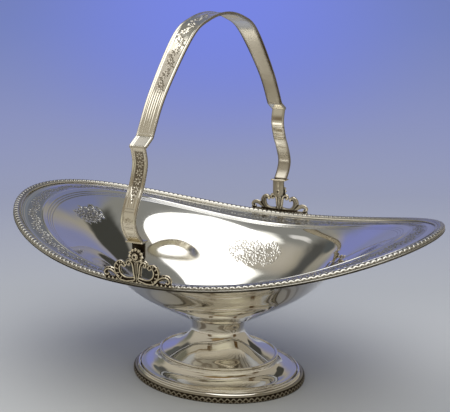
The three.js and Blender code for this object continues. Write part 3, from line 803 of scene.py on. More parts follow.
def make_foot_border():
    """A roll of crossing ribbons that stands on the table, with a ledge inside it."""
    inner = FOOT_HALF_LENGTH - FOOT_BORDER_WIDTH
    ledge = skirt_top - FOOT_SHEET - 2 * SEAM
    corners = [(FOOT_HALF_LENGTH - inset, height) for inset, height in FOOT_BORDER_PROFILE]
    face = even(curve([*corners, (inner, FOOT_BORDER_HEIGHT)], 60), 24)
    inside = [(inner, ledge), (inner - FOOT_LEDGE_WIDTH, ledge), (inner - FOOT_LEDGE_WIDTH, 0.0)]
    outline = np.vstack([face, inside])
    share = np.r_[lengths(face) / lengths(face)[-1], np.ones(len(inside))]
    place = np.arange(FOOT_RIBBON_REPEATS * FOOT_RIBBON_STEPS)[:, None] / FOOT_RIBBON_STEPS
    valley = (1 - lattice(place, share / 0.54, 0.42, 1.0)) * plateau(share, 0.05, 0.14, 0.5, 0.58)
    # The valleys keep tarnish; the foot of the face on the table and its top edge under the reed are painted
    # darker as shade.
    edges = smooth_step(0.1, 0.03, share) + plateau(share, 0.54, 0.58, 0.66, 0.72)
    stain_and_shade = np.clip(valley * 1.4 + 0.8 * edges + 0.45, 0, 1)
    sections = outline + left_of(outline) * (valley * FOOT_RIBBON_DEPTH)[..., None]
    foot_piece("foot_ribbon", "foot_border", sections, stain_and_shade, 0.0, "cast_silver", cast_silver)


# Brackets. Their scrolls are in shares of the bracket's half length and of the pivot's height over the rim.

LEAF_SCROLL = [
    (0.056, 0.214), (0.207, 0.173), (0.348, 0.163), (0.478, 0.235), (0.552, 0.393),
    (0.552, 0.577), (0.478, 0.699), (0.393, 0.679), (0.363, 0.592),
]
INNER_SCROLL = [
    (0.048, 0.204), (0.081, 0.429), (0.093, 0.597), (0.13, 0.745),
    (0.207, 0.816), (0.274, 0.76), (0.259, 0.668), (0.207, 0.663),
]
END_SCROLL = [
    (0.504, 0.204), (0.622, 0.311), (0.748, 0.403), (0.867, 0.398),
    (0.933, 0.296), (0.889, 0.209), (0.822, 0.235),
]


LEAF_SCROLL_WIDTHS = (2.6, 3.0, 3.8, 4.8, 5.2, 4.9, 4.1, 3.1, 2.1)
INNER_SCROLL_WIDTHS = (2.8, 2.5, 2.5, 2.9, 3.1, 2.9, 2.4, 2.1)
END_SCROLL_WIDTHS = (3.2, 3.6, 3.8, 3.6, 3.2, 2.6, 2.1)
INNER_EYE = (0.211, 0.694)
# How far along its scroll each leaf springs, its length and, on the leaf scroll, its lean
LEAF_TIPS = (
    (0.34, 2.6, 0.9), (0.45, 3.1, 0.8), (0.55, 3.3, 0.7),
    (0.65, 3.1, 0.6), (0.75, 2.6, 0.5), (0.84, 2.0, 0.4),
)
END_TIPS = ((0.18, 1.6), (0.3, 1.9), (0.42, 1.7))
SCROLL_STEPS = 40
BEAD_COUNT = 17
BEAD_MARGIN = 1.8
FAN_ANGLES = (-60, -30, 0, 30, 60)
PETAL_COUNT = 9
PETAL_STEP = math.radians(31)
BRACKET_VOXEL = 0.24
bracket_offset = np.array((0, -bracket_middle, RIM_HEIGHT))


def tube(path, wide, thick, shift=0.0, sides=12):
    """An oval bar along a path of x and z, wide in its plane and thick square to it."""
    path = np.asarray(path, float)
    wide, thick = (spread_over(value, len(path))[:, None] / 2 for value in (wide, thick))
    turn = full_turn(sides)
    plane = path[:, None] + left_of(path)[:, None] * (wide * np.cos(turn))[..., None]
    rows = np.stack([plane[..., 0], -shift - thick * np.sin(turn), plane[..., 1]], axis=-1)
    return ring_solid(rows, loop=False)


def grain(centre, half, wide, thick, shift, sides=12):
    """A round grain. Half leads from its centre to one end, and its sizes are those there and in the middle."""
    centre, half = np.array(centre), np.array(half)
    return tube([centre - half, centre, centre + half], (*wide, wide[0]), (*thick, thick[0]), shift, sides)


def scroll_path(points, side):
    return curve([(side * BRACKET_HALF_LENGTH * x, PIVOT_OVER_RIM * z) for x, z in points], SCROLL_STEPS)


def leaf_scroll(side):
    """A C-scroll whose outer half opens into curled leaves."""
    path = scroll_path(LEAF_SCROLL, side)
    inward = left_of(path) * side
    width = spread_over(LEAF_SCROLL_WIDTHS, len(path))
    rail = inward * width[:, None]
    parts = [
        tube(path, width, 2.2, 0.05),
        tube(path + rail * 0.36, 1.1, 1.6, 0.95),
        tube(path - rail * 0.38, 1.0, 1.5, 0.95),
    ]
    for share, length, lean in LEAF_TIPS:
        k = int(share * SCROLL_STEPS)
        ahead = path[k + 1] - path[k - 1]
        ahead *= length * lean / np.linalg.norm(ahead)
        outward = -inward[k]
        bend = path[k] + outward * length * 0.42 + ahead * 0.3
        tip = path[k] + outward * length * 0.62 + ahead * 0.95
        leaf = curve([path[k] - outward * 0.6, bend, tip], 8)
        parts.append(tube(leaf, (1.7, 1.7, 0.7), (2.2, 2.6, 1.6), 0.25, 10))
    parts.append(grain(path[-1], (0, 0.8), (0.9, 1.7), (1.6, 2.6), 0.3))
    return parts


def inner_scroll(side):
    path = scroll_path(INNER_SCROLL, side)
    centre = (side * BRACKET_HALF_LENGTH * INNER_EYE[0], PIVOT_OVER_RIM * INNER_EYE[1])
    eye = grain(centre, (0, 1.0), (1.0, 2.1), (1.6, 2.7), 0.3)
    return [tube(path, INNER_SCROLL_WIDTHS, 2.1), tube(path, 1.1, 1.6, 0.95), eye]


def end_scroll(side):
    """The low scroll at the bracket's end, with small leaves along its top."""
    path = scroll_path(END_SCROLL, side)
    outwards = left_of(path) * side
    parts = [tube(path, END_SCROLL_WIDTHS, 2.1), tube(path, 1.2, 1.6, 0.95)]
    for share, length in END_TIPS:
        k = int(share * SCROLL_STEPS)
        ahead = path[k + 1] - path[k]
        ahead /= np.linalg.norm(ahead)
        tip = path[k] + (outwards[k] + ahead) * length * 0.8
        bend = (path[k] + tip) / 2 + outwards[k] * 0.2
        parts.append(tube([path[k], bend, tip], (1.3, 1.3, 0.5), (2.1, 2.0, 1.0), 0.2, 10))
    return parts


def rim_rise(x):
    return END_RISE * (x / edge_half_length) ** 2


def bracket_strip():
    """The beaded strip along the border, with a fan of small leaves under the stem."""
    x = np.linspace(-BRACKET_HALF_LENGTH + 0.8, BRACKET_HALF_LENGTH - 0.8, 41)
    middle = rim_rise(x) + BORDER_HEIGHT + 0.25 - 0.8 * (x / BRACKET_HALF_LENGTH) ** 2
    parts = [tube(np.stack([x, middle], axis=1), 2.4, 1.9, -0.2)]
    reach = BRACKET_HALF_LENGTH - BEAD_MARGIN
    for at in np.linspace(-reach, reach, BEAD_COUNT):
        bead = (at, rim_rise(at) + BORDER_HEIGHT - 0.5)
        parts.append(grain(bead, (1.0, 0), (1.0, 2.3), (1.8, 3.2), 0.0, 10))
    for lean in np.radians(FAN_ANGLES):
        start = np.array([0, 3.4])
        tip = start + 4.0 * np.array([math.sin(lean), math.cos(lean)])
        parts.append(tube([start, (start + tip) / 2, tip], (1.0, 1.5, 0.5), (2.2, 2.7, 1.4), 0.15, 10))
    return parts


def bracket_stem():
    """Three ribs that rise from the base and flare under the boss."""
    top = PIVOT_OVER_RIM - BOSS_RADIUS + 0.9
    parts = []
    for side in (-1, 0, 1):
        path = curve([(side * 1.9, 3.0), (side * 0.95, 7.5), (side * 0.9, 11.0), (side * 1.3, top)], 20)
        parts.append(tube(path, (1.6, 1.1, 1.0, 1.3), 2.5 if side else 2.8, 0.1))
    return parts


def turned(outline, sides):
    """A body turned about the rivet's axis from radii and distances out, closed on itself or on the axis."""
    outline = np.asarray(outline, float)
    angle = full_turn(sides)
    radius, out = outline[:, :1], outline[:, 1:]
    rows = [radius * np.cos(angle), -np.repeat(out, sides, axis=1), pivot_height + radius * np.sin(angle)]
    return ring_solid(np.stack(rows, axis=-1), loop=outline[0, 0] > 0.01)


def boss_parts():
    """A round boss with a crown of petals round its eye, and the bore through it."""
    bore = PIN_RADIUS + PIN_CLEARANCE
    face = BRACKET_OUTER + BOSS_PROUD
    points, faces = turned([
        (bore, bracket_inner), (BOSS_RADIUS - 0.9, bracket_inner), (BOSS_RADIUS - 0.5, bracket_inner + 0.5),
        (BOSS_RADIUS - 0.5, face - 1.6), (BOSS_RADIUS - 1.3, face - 1.1), (2.7, face - 1.25),
        (2.45, face - 1.0), (2.3, face - 0.1), (2.0, face - 0.02), (bore, face - 0.05),
    ], 32)
    parts = [(points - bracket_offset, faces)]
    for k in range(PETAL_COUNT):
        angle = (k - PETAL_COUNT // 2) * PETAL_STEP
        ray = np.array([math.sin(angle), math.cos(angle)])
        path = [(0, PIVOT_OVER_RIM) + ray * radius for radius in (3.4, 4.2, 5.0, BOSS_RADIUS + 1.2)]
        parts.append(tube(path, (1.2, 2.2, 2.5, 1.2), (1.4, 2.2, 2.4, 1.6), 1.3, 10))
    return parts


def cast_bracket():
    """All parts of a bracket fused into one casting, flat on its back."""
    parts = bracket_stem() + bracket_strip() + boss_parts()
    for side in (-1, 1):
        parts += leaf_scroll(side) + inner_scroll(side) + end_scroll(side)
    points, faces = together(parts)
    pattern = mesh_piece("bracket_pattern", points + bracket_offset, faces)
    fuse = pattern.modifiers.new("fuse", "REMESH")
    fuse.mode = "VOXEL"
    fuse.voxel_size = BRACKET_VOXEL * MM
    soften = pattern.modifiers.new("soften", "SMOOTH")
    soften.factor = 0.5
    soften.iterations = 1
    graph = bpy.context.evaluated_depsgraph_get()
    cast = bpy.data.meshes.new_from_object(pattern.evaluated_get(graph))
    bpy.data.objects.remove(pattern)
    points = mesh_values(cast.vertices, "co", 3) / MM
    points[:, 1] = np.minimum(points[:, 1], -bracket_inner)
    return points, [list(polygon.vertices) for polygon in cast.polygons]


def make_brackets():
    points, faces = cast_bracket()
    x, y, z = points.T
    from_middle = np.abs(-y - bracket_middle)
    over_rim = z - RIM_HEIGHT - rim_rise(x)
    near_rim = smooth_step(BORDER_HEIGHT + 2.2, BORDER_HEIGHT + 0.6, over_rim)
    # Darker the further back from the front faces, low near the rim and in a ring round the eye: partly tarnish
    # in the recesses, partly painted shade.
    antique_and_shade = 0.05 + 0.9 * smooth_step(1.62, 1.22, from_middle)
    antique_and_shade += 0.6 * near_rim * smooth_step(1.55, 1.4, from_middle)
    antique_and_shade += 0.8 * plateau(np.hypot(x, z - pivot_height), 2.0, 2.2, 3.5, 4.0)
    look = "basket", "cast_silver", cast_silver
    silver_pair("scroll_bracket", (points, faces), *look, "bracket", antique_and_shade, 9, 13.0)


def make_pins():
    """Rivets with a low head inside and a turned, hollow-eyed one outside."""
    inner = tang_inner - HEAD_GAP
    outer = BRACKET_OUTER + BOSS_PROUD + SEAM
    top = outer + PIN_HEAD_HEIGHT
    inner_head = [(0.001, 1.0), (0.7, 0.95), (1.35, 0.7), (1.8, 0.3), (PIN_HEAD_RADIUS, 0.0)]
    outer_head = [(1.7, 0.12), (1.4, 0.0), (1.1, 0.12), (0.85, 0.5), (0.4, 0.62), (0.001, 0.62)]
    points, faces = turned([
        *((radius, inner - PIN_HEAD_HEIGHT * share) for radius, share in inner_head),
        (PIN_RADIUS, inner), (PIN_RADIUS, outer), (PIN_HEAD_RADIUS, outer), (PIN_HEAD_RADIUS, outer + 0.3),
        *((radius, top - drop) for radius, drop in outer_head),
    ], 40)
    # Painted shade darkens the rivet round its axis, in the eye of its heads.
    stain_and_shade = 0.95 * smooth_step(1.15, 0.85, np.hypot(points[:, 0], points[:, 2] - pivot_height))
    look = "basket", "polished_silver", cast_silver
    silver_pair("rivet", (points, faces), *look, "hinge_pin", stain_and_shade, 2, 1.0)


# Handle

FACE_POINTS = 37
INNER_POINTS = 13
FLUTE_REACH = 33.0
FLORAL_PERIOD = 19.0
SHADE_REACH = 66.0
LEG_LINES = (0.175, 0.325, 0.355)
INNER_LEG_LINES = (0.64, 0.69, 0.78)
MOTIF_PLACE = 0.25
# Inwards from the cap's sides, and up
CAP_PROFILE = [(0.36, 0.0), (0.12, 0.1), (0.0, 0.36), (0.0, 0.84), (0.12, 1.1), (0.36, CAP_HEIGHT)]

arch_half = [(SHOULDER_OUT * out, lerp(SHOULDER_UP, HANDLE_RISE, up)) for out, up in ARCH_PROFILE]
arch_line = curve([(-out, up) for out, up in arch_half[:0:-1]] + arch_half, 900)
shoulder_lean = (arch_line[1] - arch_line[0]) / np.linalg.norm(arch_line[1] - arch_line[0])


def strap_solid(line, widths, outer_relief, inner_relief, level_start=False):
    """A strap with raised round edges, and the tarnish and painted shade that it keeps.

    The reliefs give heights, tarnish and painted shade over its two faces at each step.
    """
    along = lengths(line)
    outward = left_of(line)
    if level_start:
        outward[0] = (-1, 0)
    face = STRAP_THICKNESS / 2
    across = np.linspace(-1, 1, FACE_POINTS)
    back_across = np.linspace(1, -1, INNER_POINTS)
    rows, stain_and_shade_rows = [], []
    for k, (point, width) in enumerate(zip(line, widths)):
        x = across * width / 2
        to_edge = width / 2 - np.abs(x)
        thread = STRAP_EDGE_HEIGHT * ridge(to_edge - 0.55, 0.55)
        groove = peak(to_edge - 1.3, 0.35)
        reed = 0.18 * ridge(to_edge - 1.9, 0.38) ** 2
        field = smooth_step(2.2, 2.6, to_edge)
        height, stain_and_shade = outer_relief(along[k], x, width)
        inner_x = back_across * (width / 2 - 0.4)
        inner_height, inner_stain = inner_relief(along[k], inner_x)
        out = np.r_[face - 0.02 + thread - 0.15 * groove + reed + height * field, inner_height - face]
        place = point + outward[k] * out[:, None]
        rows.append(np.column_stack([np.r_[x, inner_x], place[:, 0], pivot_height + place[:, 1]]))
        stain_and_shade_rows.append(np.r_[stain_and_shade * field + 0.6 * groove, inner_stain])
    points, faces = ring_solid(rows, loop=False)
    return (points, [face[::-1] for face in faces]), np.concatenate(stain_and_shade_rows)


def flutes(x, spacing):
    """Round flutes side by side, and the tarnish in the furrows between them."""
    flute = np.abs(np.cos(x * math.pi / spacing))
    return flute, smooth_step(0.4, 0.0, flute)


def arch_relief(total):
    """From each shoulder to the crown: a cross line, flutes, and a vine whose ground is painted darker near the
    flutes as shade.
    """
    def relief(along, x, width):
        from_shoulder = min(along, total - along)
        floral = smooth_step(FLUTE_REACH - 6, FLUTE_REACH + 4, from_shoulder)
        fluted = (1 - floral) * smooth_step(1.5, 3.5, from_shoulder)
        flute, furrow = flutes(x, 1.75)
        from_crown = np.full_like(x, total / 2 - from_shoulder)
        leaves = vine(from_crown, x * ARCH_WIDTH / width, FLORAL_PERIOD, 1.5, 2.9, 5)
        height = fluted * (flute * 0.3 - 0.2) - floral * 0.5 * leaves + 0.3 * peak(from_shoulder - 1.2, 0.5)
        # Painted shade on the ground near the shoulders.
        shade_near_shoulder = smooth_step(SHADE_REACH + 4, SHADE_REACH - 4, from_shoulder)
        return height, fluted * 0.5 * furrow + floral * (0.95 * kept_tarnish(leaves) + 0.5 * shade_near_shoulder)
    return relief


def inner_arch_relief(total):
    def relief(along, x):
        # The inner face is darker towards the shoulders.
        return np.zeros_like(x), np.full_like(x, 0.4 * smooth_step(95, 60, min(along, total - along)))
    return relief


def leg_relief(total):
    """From the cap upwards: a plain panel, a band, a small motif, cross lines, flutes and a leaf panel."""
    def relief(along, x, width):
        up = along / total
        lines = sum(peak(up - line, 0.008) for line in LEG_LINES)
        # Painted shadows: a dark band just above each cross line.
        shadows = sum(peak(up - line - 0.016, 0.01) for line in LEG_LINES)
        motif = rosette(np.full_like(x, (up - MOTIF_PLACE) * total), x, (0, 0), 8, 1.5, 0.9)
        motif = motif * (abs(up - MOTIF_PLACE) < 0.06)
        fluted = plateau(up, 0.37, 0.39, 0.53, 0.56)
        flute, furrow = flutes(x, 1.5)
        height = 0.14 * lines - 0.2 * motif + fluted * (flute * 0.22 - 0.14)
        stain_and_shade = 0.5 * shadows + 0.7 * kept_tarnish(motif) + fluted * 0.6 * furrow
        reach = (width / 2 - 2.2) * smooth_step(0.4, 0.64, up)
        inside = smooth_step(-0.3, 0.2, reach - np.abs(x)) * plateau(up, 0.4, 0.45, 0.95, 0.97)
        leaves = vine(np.full_like(x, up * total), x, 11.0, 1.0, 2.7, 4)
        height = lerp(height, -0.22 - 0.4 * leaves, inside)
        return height, lerp(stain_and_shade, 0.8 * smooth_step(0.55, 0.3, leaves), inside)
    return relief


def inner_leg_relief(total):
    def relief(along, x):
        up = along / total
        ribs = sum(peak(up - line, 0.008) for line in INNER_LEG_LINES)
        # Painted shadows lie just below each rib, and the face is darker towards the bottom.
        shadows = sum(peak(up - line + 0.014, 0.009) for line in INNER_LEG_LINES)
        stain_and_shade = 0.35 * smooth_step(0.5, 0.3, up) + 0.5 * shadows
        return np.full_like(x, 0.16 * ribs), np.full_like(x, stain_and_shade)
    return relief


def leg_line():
    foot = np.array([-tang_outer - LEG_FOOT_OUT, cap_top + SEAM])
    corner = np.array([-SHOULDER_OUT - STEP_OUT, SHOULDER_UP - STEP_DOWN])
    rising = even(curve([lerp(foot, corner, up) - (out, 0) for out, up in LEG_SWAY], 400), 200)
    neck = arch_line[0] - shoulder_lean * STEP_NECK
    top = arch_line[0] - shoulder_lean * SEAM
    return rising, np.vstack([rising[:-1], lerp(rising[-1], neck, np.linspace(0, 1, 16)[:, None]), top])


def make_handle():
    look = "handle", "strap_silver", strap_silver
    total = lengths(arch_line)[-1]
    line = even(arch_line, 760)
    from_shoulder = 1 - np.abs(np.linspace(-1, 1, len(line)))
    widths = lerp(ARCH_WIDTH, CROWN_WIDTH, smooth_step(0.08, 0.75, from_shoulder))
    solid, stain_and_shade = strap_solid(line, widths, arch_relief(total), inner_arch_relief(total))
    silver_piece("engraved_arch", solid, *look, "handle_arch", stain_and_shade, 2, 1.5)
    rising, line = leg_line()
    total = lengths(rising)[-1]
    widths = lerp(LEG_WIDTH, ARCH_WIDTH, smooth_step(total - 1.2, total + 0.2, lengths(line)))
    solid, stain_and_shade = strap_solid(line, widths, leg_relief(total), inner_leg_relief(total), level_start=True)
    silver_pair("panelled_leg", solid, *look, "handle_leg", stain_and_shade, 2, 1.5)


def tang_plate():
    """The tongue with its round lower end and softened edges."""
    half, top, edge = TANG_WIDTH / 2, CAP_OVER_PIVOT + 0.3, 0.25
    turn = np.linspace(0, math.pi, 25)
    bottom = np.stack([-half * np.cos(turn), -half * np.sin(turn)], axis=1)
    outline = np.vstack([bottom, [(half, top), (-half, top)]]) + (0, pivot_height)
    away = outline - outline.mean(axis=0)
    away /= np.linalg.norm(away, axis=1, keepdims=True)
    steps = [(edge, 0), (edge * 0.3, edge * 0.3), (0, edge)]
    levels = [(inset, tang_inner + rise) for inset, rise in steps]
    levels += [(inset, tang_outer - rise) for inset, rise in steps[::-1]]
    rows = []
    for inset, out in levels:
        ring = outline - away * inset
        rows.append(np.stack([ring[:, 0], np.full(len(ring), -out), ring[:, 1]], axis=1))
    return ring_solid(rows, loop=False)


def tang_cap():
    """The moulding that caps the tongue, with rounded edges."""
    reach = LEG_WIDTH / 2 + CAP_MARGIN
    outer = tang_outer + LEG_FOOT_OUT + STRAP_THICKNESS + STRAP_EDGE_HEIGHT + CAP_MARGIN / 2
    inner = tang_inner - CAP_MARGIN / 2
    bottom = pivot_height + CAP_OVER_PIVOT
    rows = []
    for inset, height in CAP_PROFILE:
        x, y = reach - inset, (outer - inner) / 2 - inset
        ring = even(np.array([(-x, -y), (x, -y), (x, y), (-x, y), (-x, -y)]), 48)[:-1]
        ring -= (0, (outer + inner) / 2)
        rows.append(np.column_stack([ring, np.full(len(ring), bottom + height)]))
    return ring_solid(rows, loop=False)


def tang_husk():
    """The swelling on the tongue's inner face, between the rivet and the cap."""
    rise = PIN_HEAD_RADIUS + HEAD_GAP + HUSK_LENGTH * np.linspace(0.02, 0.98, 17)
    swell = np.sqrt(np.sin(np.linspace(0.06, 0.96, 17) * math.pi))
    path = np.stack([np.zeros(len(rise)), rise], axis=1)
    points, faces = tube(path, HUSK_WIDTH * swell, TANG_THICKNESS * swell, 0.0, 20)
    return points + (0, -tang_inner, pivot_height), faces


def make_tangs():
    solids = [tang_plate(), tang_cap(), tang_husk()]
    points, faces = together(solids)
    # The plate is darkest and lighter on its inner half, and the husk is a little dark.
    stain_and_shade = np.repeat([1.0, 0.0, 0.6], [len(body_points) for body_points, _ in solids])
    stain_and_shade[-points[:, 1] < tang_inner + TANG_THICKNESS / 2] *= 0.5
    silver_pair("tang", (points, faces), "handle", "cast_silver", cast_silver, "hinge_tang", stain_and_shade)


# Camera, room and light

CAMERA_AZIMUTH = math.radians(27.83)
CAMERA_DROP = math.radians(13.34)
CAMERA_DISTANCE = 712.88
CAMERA_AIM_HEIGHT = 133.21
CAMERA_AIM_RIGHT = 5.36
FOCAL_PIXELS = 947.51
PICTURE_WIDTH = 450

right = Vector((math.cos(CAMERA_AZIMUTH), math.sin(CAMERA_AZIMUTH), 0))
back = Vector((-math.sin(CAMERA_AZIMUTH), math.cos(CAMERA_AZIMUTH), 0))
forward = back * math.cos(CAMERA_DROP) - Vector((0, 0, math.sin(CAMERA_DROP)))


def make_camera():
    data = bpy.data.cameras.new("camera")
    camera = bpy.data.objects.new("camera", data)
    bpy.context.scene.collection.objects.link(camera)
    data.sensor_width = 36.0
    data.lens = FOCAL_PIXELS / PICTURE_WIDTH * data.sensor_width
    data.clip_start = 0.02
    data.clip_end = 50.0
    aim = Vector((0, 0, CAMERA_AIM_HEIGHT)) + right * CAMERA_AIM_RIGHT
    camera.location = (aim - forward * CAMERA_DISTANCE) * MM
    camera.rotation_mode = "QUATERNION"
    camera.rotation_quaternion = forward.to_track_quat("-Z", "Y")
    bpy.context.scene.camera = camera


def shade(red, green, blue):
    """A colour from its 8-bit values, as linear light."""
    return tuple(round((value / 255) ** 2.2, 4) for value in (red, green, blue))


SWEEP_START = 620
SWEEP_RADIUS = 650
STAGE_REACH = 3200
WALL_HEIGHT = 2600
# The ramp is painted light: paler near the object and bluer up the sweep, where a blue lamp falls on the
# backdrop.
PAPER_LIGHT_RAMP = [
    (0.0, shade(183, 185, 188)), (0.2, shade(170, 173, 179)), (0.6, shade(155, 160, 181)),
    (0.93, shade(137, 145, 188)), (1.17, shade(117, 130, 186)), (1.5, shade(104, 117, 178)),
]
PAPER_LIGHT_RAMP_END = 2.5
PAPER_GAIN = (1.08, 1.07, 1.0)
SIDE_SHADE = (0.6, 0.62, 0.62)
FRONT_PALE = (1.3, 1.2, 0.96)
FRONT_BROWN = (0.62, 0.52, 0.38)
# A painted pool of blue light high on the backdrop.
GLOW_COLOUR = shade(120, 134, 226)
GLOW_DISTANCE = 1150
GLOW_HEIGHT = 300


def backdrop_paper():
    """Paper with painted light: paler near the object, bluer up the sweep with a painted pool of blue light,
    glowing on the wall, and painted darker to the right front as shade. What mirrors it sees it warmer in
    front.
    """
    material = bpy.data.materials.new("backdrop_paper")
    material.use_nodes = True
    tree = material.node_tree
    tree.nodes.clear()
    reach = node(tree, "ShaderNodeAttribute", attribute_name="reach").outputs["Fac"]
    place = node(tree, "ShaderNodeTexCoord").outputs["Object"]
    mirrored = node(tree, "ShaderNodeLightPath").outputs["Is Glossy Ray"]
    ramp = node(tree, "ShaderNodeValToRGB", {"Fac": maths(tree, "DIVIDE", reach, PAPER_LIGHT_RAMP_END)})
    for _ in PAPER_LIGHT_RAMP[2:]:
        ramp.color_ramp.elements.new(0.5)
    for element, (distance, colour) in zip(ramp.color_ramp.elements, PAPER_LIGHT_RAMP):
        element.position = distance / PAPER_LIGHT_RAMP_END
        element.color = (*colour, 1)
    glow_middle = (back * GLOW_DISTANCE + Vector((0, 0, GLOW_HEIGHT))) * MM
    near_glow = ranged(tree, vector_maths(tree, "DISTANCE", place, glow_middle), 0.5, 0.02)
    colour = mixed(tree, near_glow, ramp.outputs["Color"], GLOW_COLOUR)
    streaks = {"Vector": place, "Scale": 12.0, "Distortion": 7.0, "Detail": 1.5}
    streak = node(tree, "ShaderNodeTexWave", streaks, bands_direction="Y").outputs["Fac"]
    front = mixed(tree, ranged(tree, streak, 0.1, 0.45), FRONT_BROWN, FRONT_PALE)
    # Painted shade: the paper is darker towards the right front.
    aside = vector_maths(tree, "DOT_PRODUCT", place, right - back)
    gain = mixed(tree, ranged(tree, aside, 0.12, 0.4), PAPER_GAIN, SIDE_SHADE)
    toward = ranged(tree, vector_maths(tree, "DOT_PRODUCT", place, -back), -0.04, 0.02)
    tint = mixed(tree, maths(tree, "MULTIPLY", toward, mirrored), gain, front)
    paper = node(tree, "ShaderNodeBsdfDiffuse", {"Color": vector_maths(tree, "MULTIPLY", colour, tint)})
    glow = node(tree, "ShaderNodeEmission", {"Color": colour})
    on_wall = ranged(tree, reach, 0.5, 0.9)
    seen = node(tree, "ShaderNodeMixShader", {0: on_wall, 1: paper.outputs[0], 2: glow.outputs[0]})
    clear = node(tree, "ShaderNodeBsdfTransparent")
    away = ranged(tree, vector_maths(tree, "LENGTH", place), 0.42, 0.7)
    far = maths(tree, "MULTIPLY", away, mirrored)
    open_far = node(tree, "ShaderNodeMixShader", {0: far, 1: seen.outputs[0], 2: clear.outputs[0]})
    node(tree, "ShaderNodeOutputMaterial", {"Surface": open_far.outputs[0]})
    return material


def make_stage():
    """A pale floor that sweeps up into a blue-lit backdrop, square to the camera."""
    turn = np.linspace(0, math.pi / 2, 40)
    sweep = np.stack([SWEEP_START + SWEEP_RADIUS * np.sin(turn), SWEEP_RADIUS * (1 - np.cos(turn))], axis=1)
    line = np.vstack([[(-STAGE_REACH, 0), (0, 0)], sweep, [(SWEEP_START + SWEEP_RADIUS, WALL_HEIGHT)]])
    sides = np.array([(-STAGE_REACH,), (STAGE_REACH,)])
    points = np.array(back) * line[:, None, :1] + np.array(right) * sides
    points[..., 2] = line[:, None, 1]
    floor = mesh_piece("floor_sweep", points.reshape(-1, 3), grid_faces(len(line), 2, column_loop=False))
    reach = np.maximum(lengths(line) - STAGE_REACH, 0) * MM
    add_point_values(floor.data, "reach", np.repeat(reach, 2))
    floor.data.materials.append(backdrop_paper())


# Each patch of the room has its middle and half widths as degrees to the right of straight behind and
# degrees up, how soft its edge is, whether it is square, and its colour.
ROOM_BASE = shade(160, 154, 142)
ROOM_PATCHES = [
    ((-105, 2), (80, 34), 0.5, False, shade(180, 174, 160)),
    ((0, 55), (75, 22), 0.4, False, shade(134, 134, 130)),
    ((0, 72), (80, 9), 0.5, False, shade(168, 168, 166)),
    ((-76, 53), (17, 8), 0.5, False, shade(158, 156, 150)),
    ((-76, 40), (17, 6), 0.5, False, shade(138, 133, 117)),
    ((-45, 4), (18, 20), 0.5, False, shade(116, 116, 106)),
    ((-1, 8), (31, 20), 0.35, False, shade(128, 132, 168)),
    ((-14, 17), (13, 10), 0.6, False, shade(128, 134, 190)),
    ((18, 42), (7, 9), 0.4, False, shade(118, 124, 160)),
    ((-6, 34), (9, 11), 0.5, False, shade(118, 123, 134)),
    ((-45, 35), (18, 8), 0.5, False, shade(80, 80, 78)),
    ((-30, 31), (6, 4), 0.4, False, shade(85, 88, 88)),
    ((38, 30), (12, 16), 0.3, True, shade(66, 66, 62)),
    ((-40, 50), (4, 5), 0.6, True, shade(222, 220, 218)),
    ((-75, 65), (34, 6), 0.4, False, (1.45, 1.44, 1.38)),
    ((180, 28), (52, 2.2), 0.5, True, shade(96, 80, 56)),
    ((180, 47), (52, 2.6), 0.5, True, shade(96, 80, 56)),
    ((-120, -2), (62, 1.3), 0.5, True, shade(118, 102, 80)),
    ((125, 10), (9, 14), 0.4, True, shade(88, 70, 48)),
    ((-134, 6), (8, 12), 0.4, True, shade(88, 70, 48)),
    ((112, -16), (8, 8), 0.4, True, shade(182, 176, 150)),
    ((140, -16), (10, 8), 0.4, True, shade(182, 176, 150)),
    ((85, -25), (24, 19), 0.5, True, shade(104, 92, 70)),
    ((-125, -45), (15, 5), 0.5, True, shade(92, 80, 60)),
    ((-162, 35), (22, 7), 0.4, True, shade(140, 120, 90)),
    ((180, -1), (34, 20), 0.6, False, shade(216, 213, 194)),
    ((-105, 45), (42, 13), 0.5, False, shade(178, 172, 160)),
]
ROOM_PLAIN = (0.7, 0.7, 0.7)
ROOM_HORIZON = shade(168, 171, 180)
ROOM_HIGH = shade(104, 117, 178)
ROOM_SWAY = (14, 9, 0)


def lay_patch(tree, under, place, middle, half, edge, square, colour):
    """Lays one soft-edged patch over a view of the room."""
    offset = vector_maths(tree, "SUBTRACT", place, (*middle, 0))
    wrapped = vector_maths(tree, "WRAP", offset, (180,) * 3, (-180,) * 3)
    scaled = vector_maths(tree, "DIVIDE", wrapped, (*half, 1))
    if square:
        scaled = vector_maths(tree, "MULTIPLY", scaled, scaled)
    away = vector_maths(tree, "LENGTH", scaled)
    return mixed(tree, ranged(tree, away, 1 + edge, 1 - edge), under, colour)


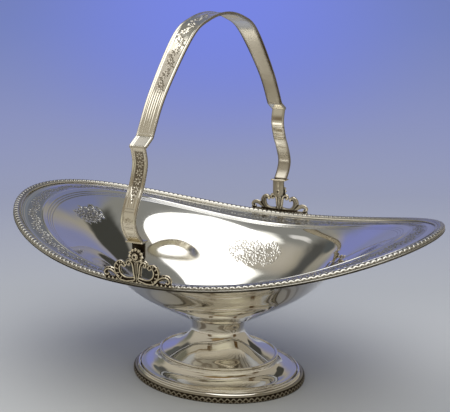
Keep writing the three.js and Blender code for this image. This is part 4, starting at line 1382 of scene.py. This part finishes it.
def make_room():
    """The room round the stage: plain light for matt surfaces, and its shapes for the silver to mirror."""
    world = bpy.data.worlds.new("room")
    bpy.context.scene.world = world
    world.use_nodes = True
    tree = world.node_tree
    tree.nodes.clear()
    direction = node(tree, "ShaderNodeTexCoord").outputs["Generated"]
    height = node(tree, "ShaderNodeSeparateXYZ", {0: direction}).outputs["Z"]
    across, behind = (vector_maths(tree, "DOT_PRODUCT", direction, axis) for axis in (right, back))
    azimuth = maths(tree, "DEGREES", maths(tree, "ARCTAN2", across, behind))
    elevation = maths(tree, "DEGREES", maths(tree, "ARCSINE", height))
    spot = node(tree, "ShaderNodeCombineXYZ", {"X": azimuth, "Y": elevation}).outputs[0]
    uneven = noise(tree, direction, 5.0, 2.0).outputs["Color"]
    centred = tuple(-sway / 2 for sway in ROOM_SWAY)
    shift = vector_maths(tree, "MULTIPLY_ADD", uneven, ROOM_SWAY, centred)
    place = vector_maths(tree, "ADD", spot, shift)
    view = ROOM_BASE
    for patch in ROOM_PATCHES:
        view = lay_patch(tree, view, place, *patch)
    path = node(tree, "ShaderNodeLightPath").outputs
    seen = mixed(tree, path["Is Glossy Ray"], ROOM_PLAIN, view)
    sky = mixed(tree, ranged(tree, elevation, -4, 34), ROOM_HORIZON, ROOM_HIGH)
    glow = node(tree, "ShaderNodeBackground", {"Color": mixed(tree, path["Is Camera Ray"], seen, sky)})
    node(tree, "ShaderNodeOutputWorld", {"Surface": glow.outputs[0]})


LAMP_HEIGHT = 1800
LAMP_BASE = 100
LAMP_RIGHT = 0.05
LAMP_BACK = -0.29
LAMP_HALF_WIDTH = 0.68
LAMP_HALF_DEPTH = 0.8
LAMP_STRENGTH = 1.5


def make_lamp():
    """A wide soft light overhead, a little in front. Its place and size are shares of its height."""
    data = bpy.data.lights.new("softbox", "AREA")
    data.shape = "ELLIPSE"
    data.size = 2 * LAMP_HALF_WIDTH * LAMP_HEIGHT * MM
    data.size_y = 2 * LAMP_HALF_DEPTH * LAMP_HEIGHT * MM
    data.energy = LAMP_STRENGTH * math.pi * (math.pi / 4 * data.size * data.size_y)
    lamp = bpy.data.objects.new("softbox", data)
    bpy.context.scene.collection.objects.link(lamp)
    share = right * LAMP_RIGHT + back * LAMP_BACK + Vector((0, 0, 1))
    lamp.location = (Vector((0, 0, LAMP_BASE)) + share * LAMP_HEIGHT) * MM
    lamp.rotation_euler = (0, 0, CAMERA_AZIMUTH)


make_camera()
make_stage()
make_room()
make_lamp()
make_bowl()
make_rim_wire()
make_rim_border()
make_foot_stem()
make_foot_bead()
make_foot_base()
make_foot_reed()
make_foot_border()
make_brackets()
make_pins()
make_handle()
make_tangs()

bpy.context.scene.view_settings.view_transform = "Standard"
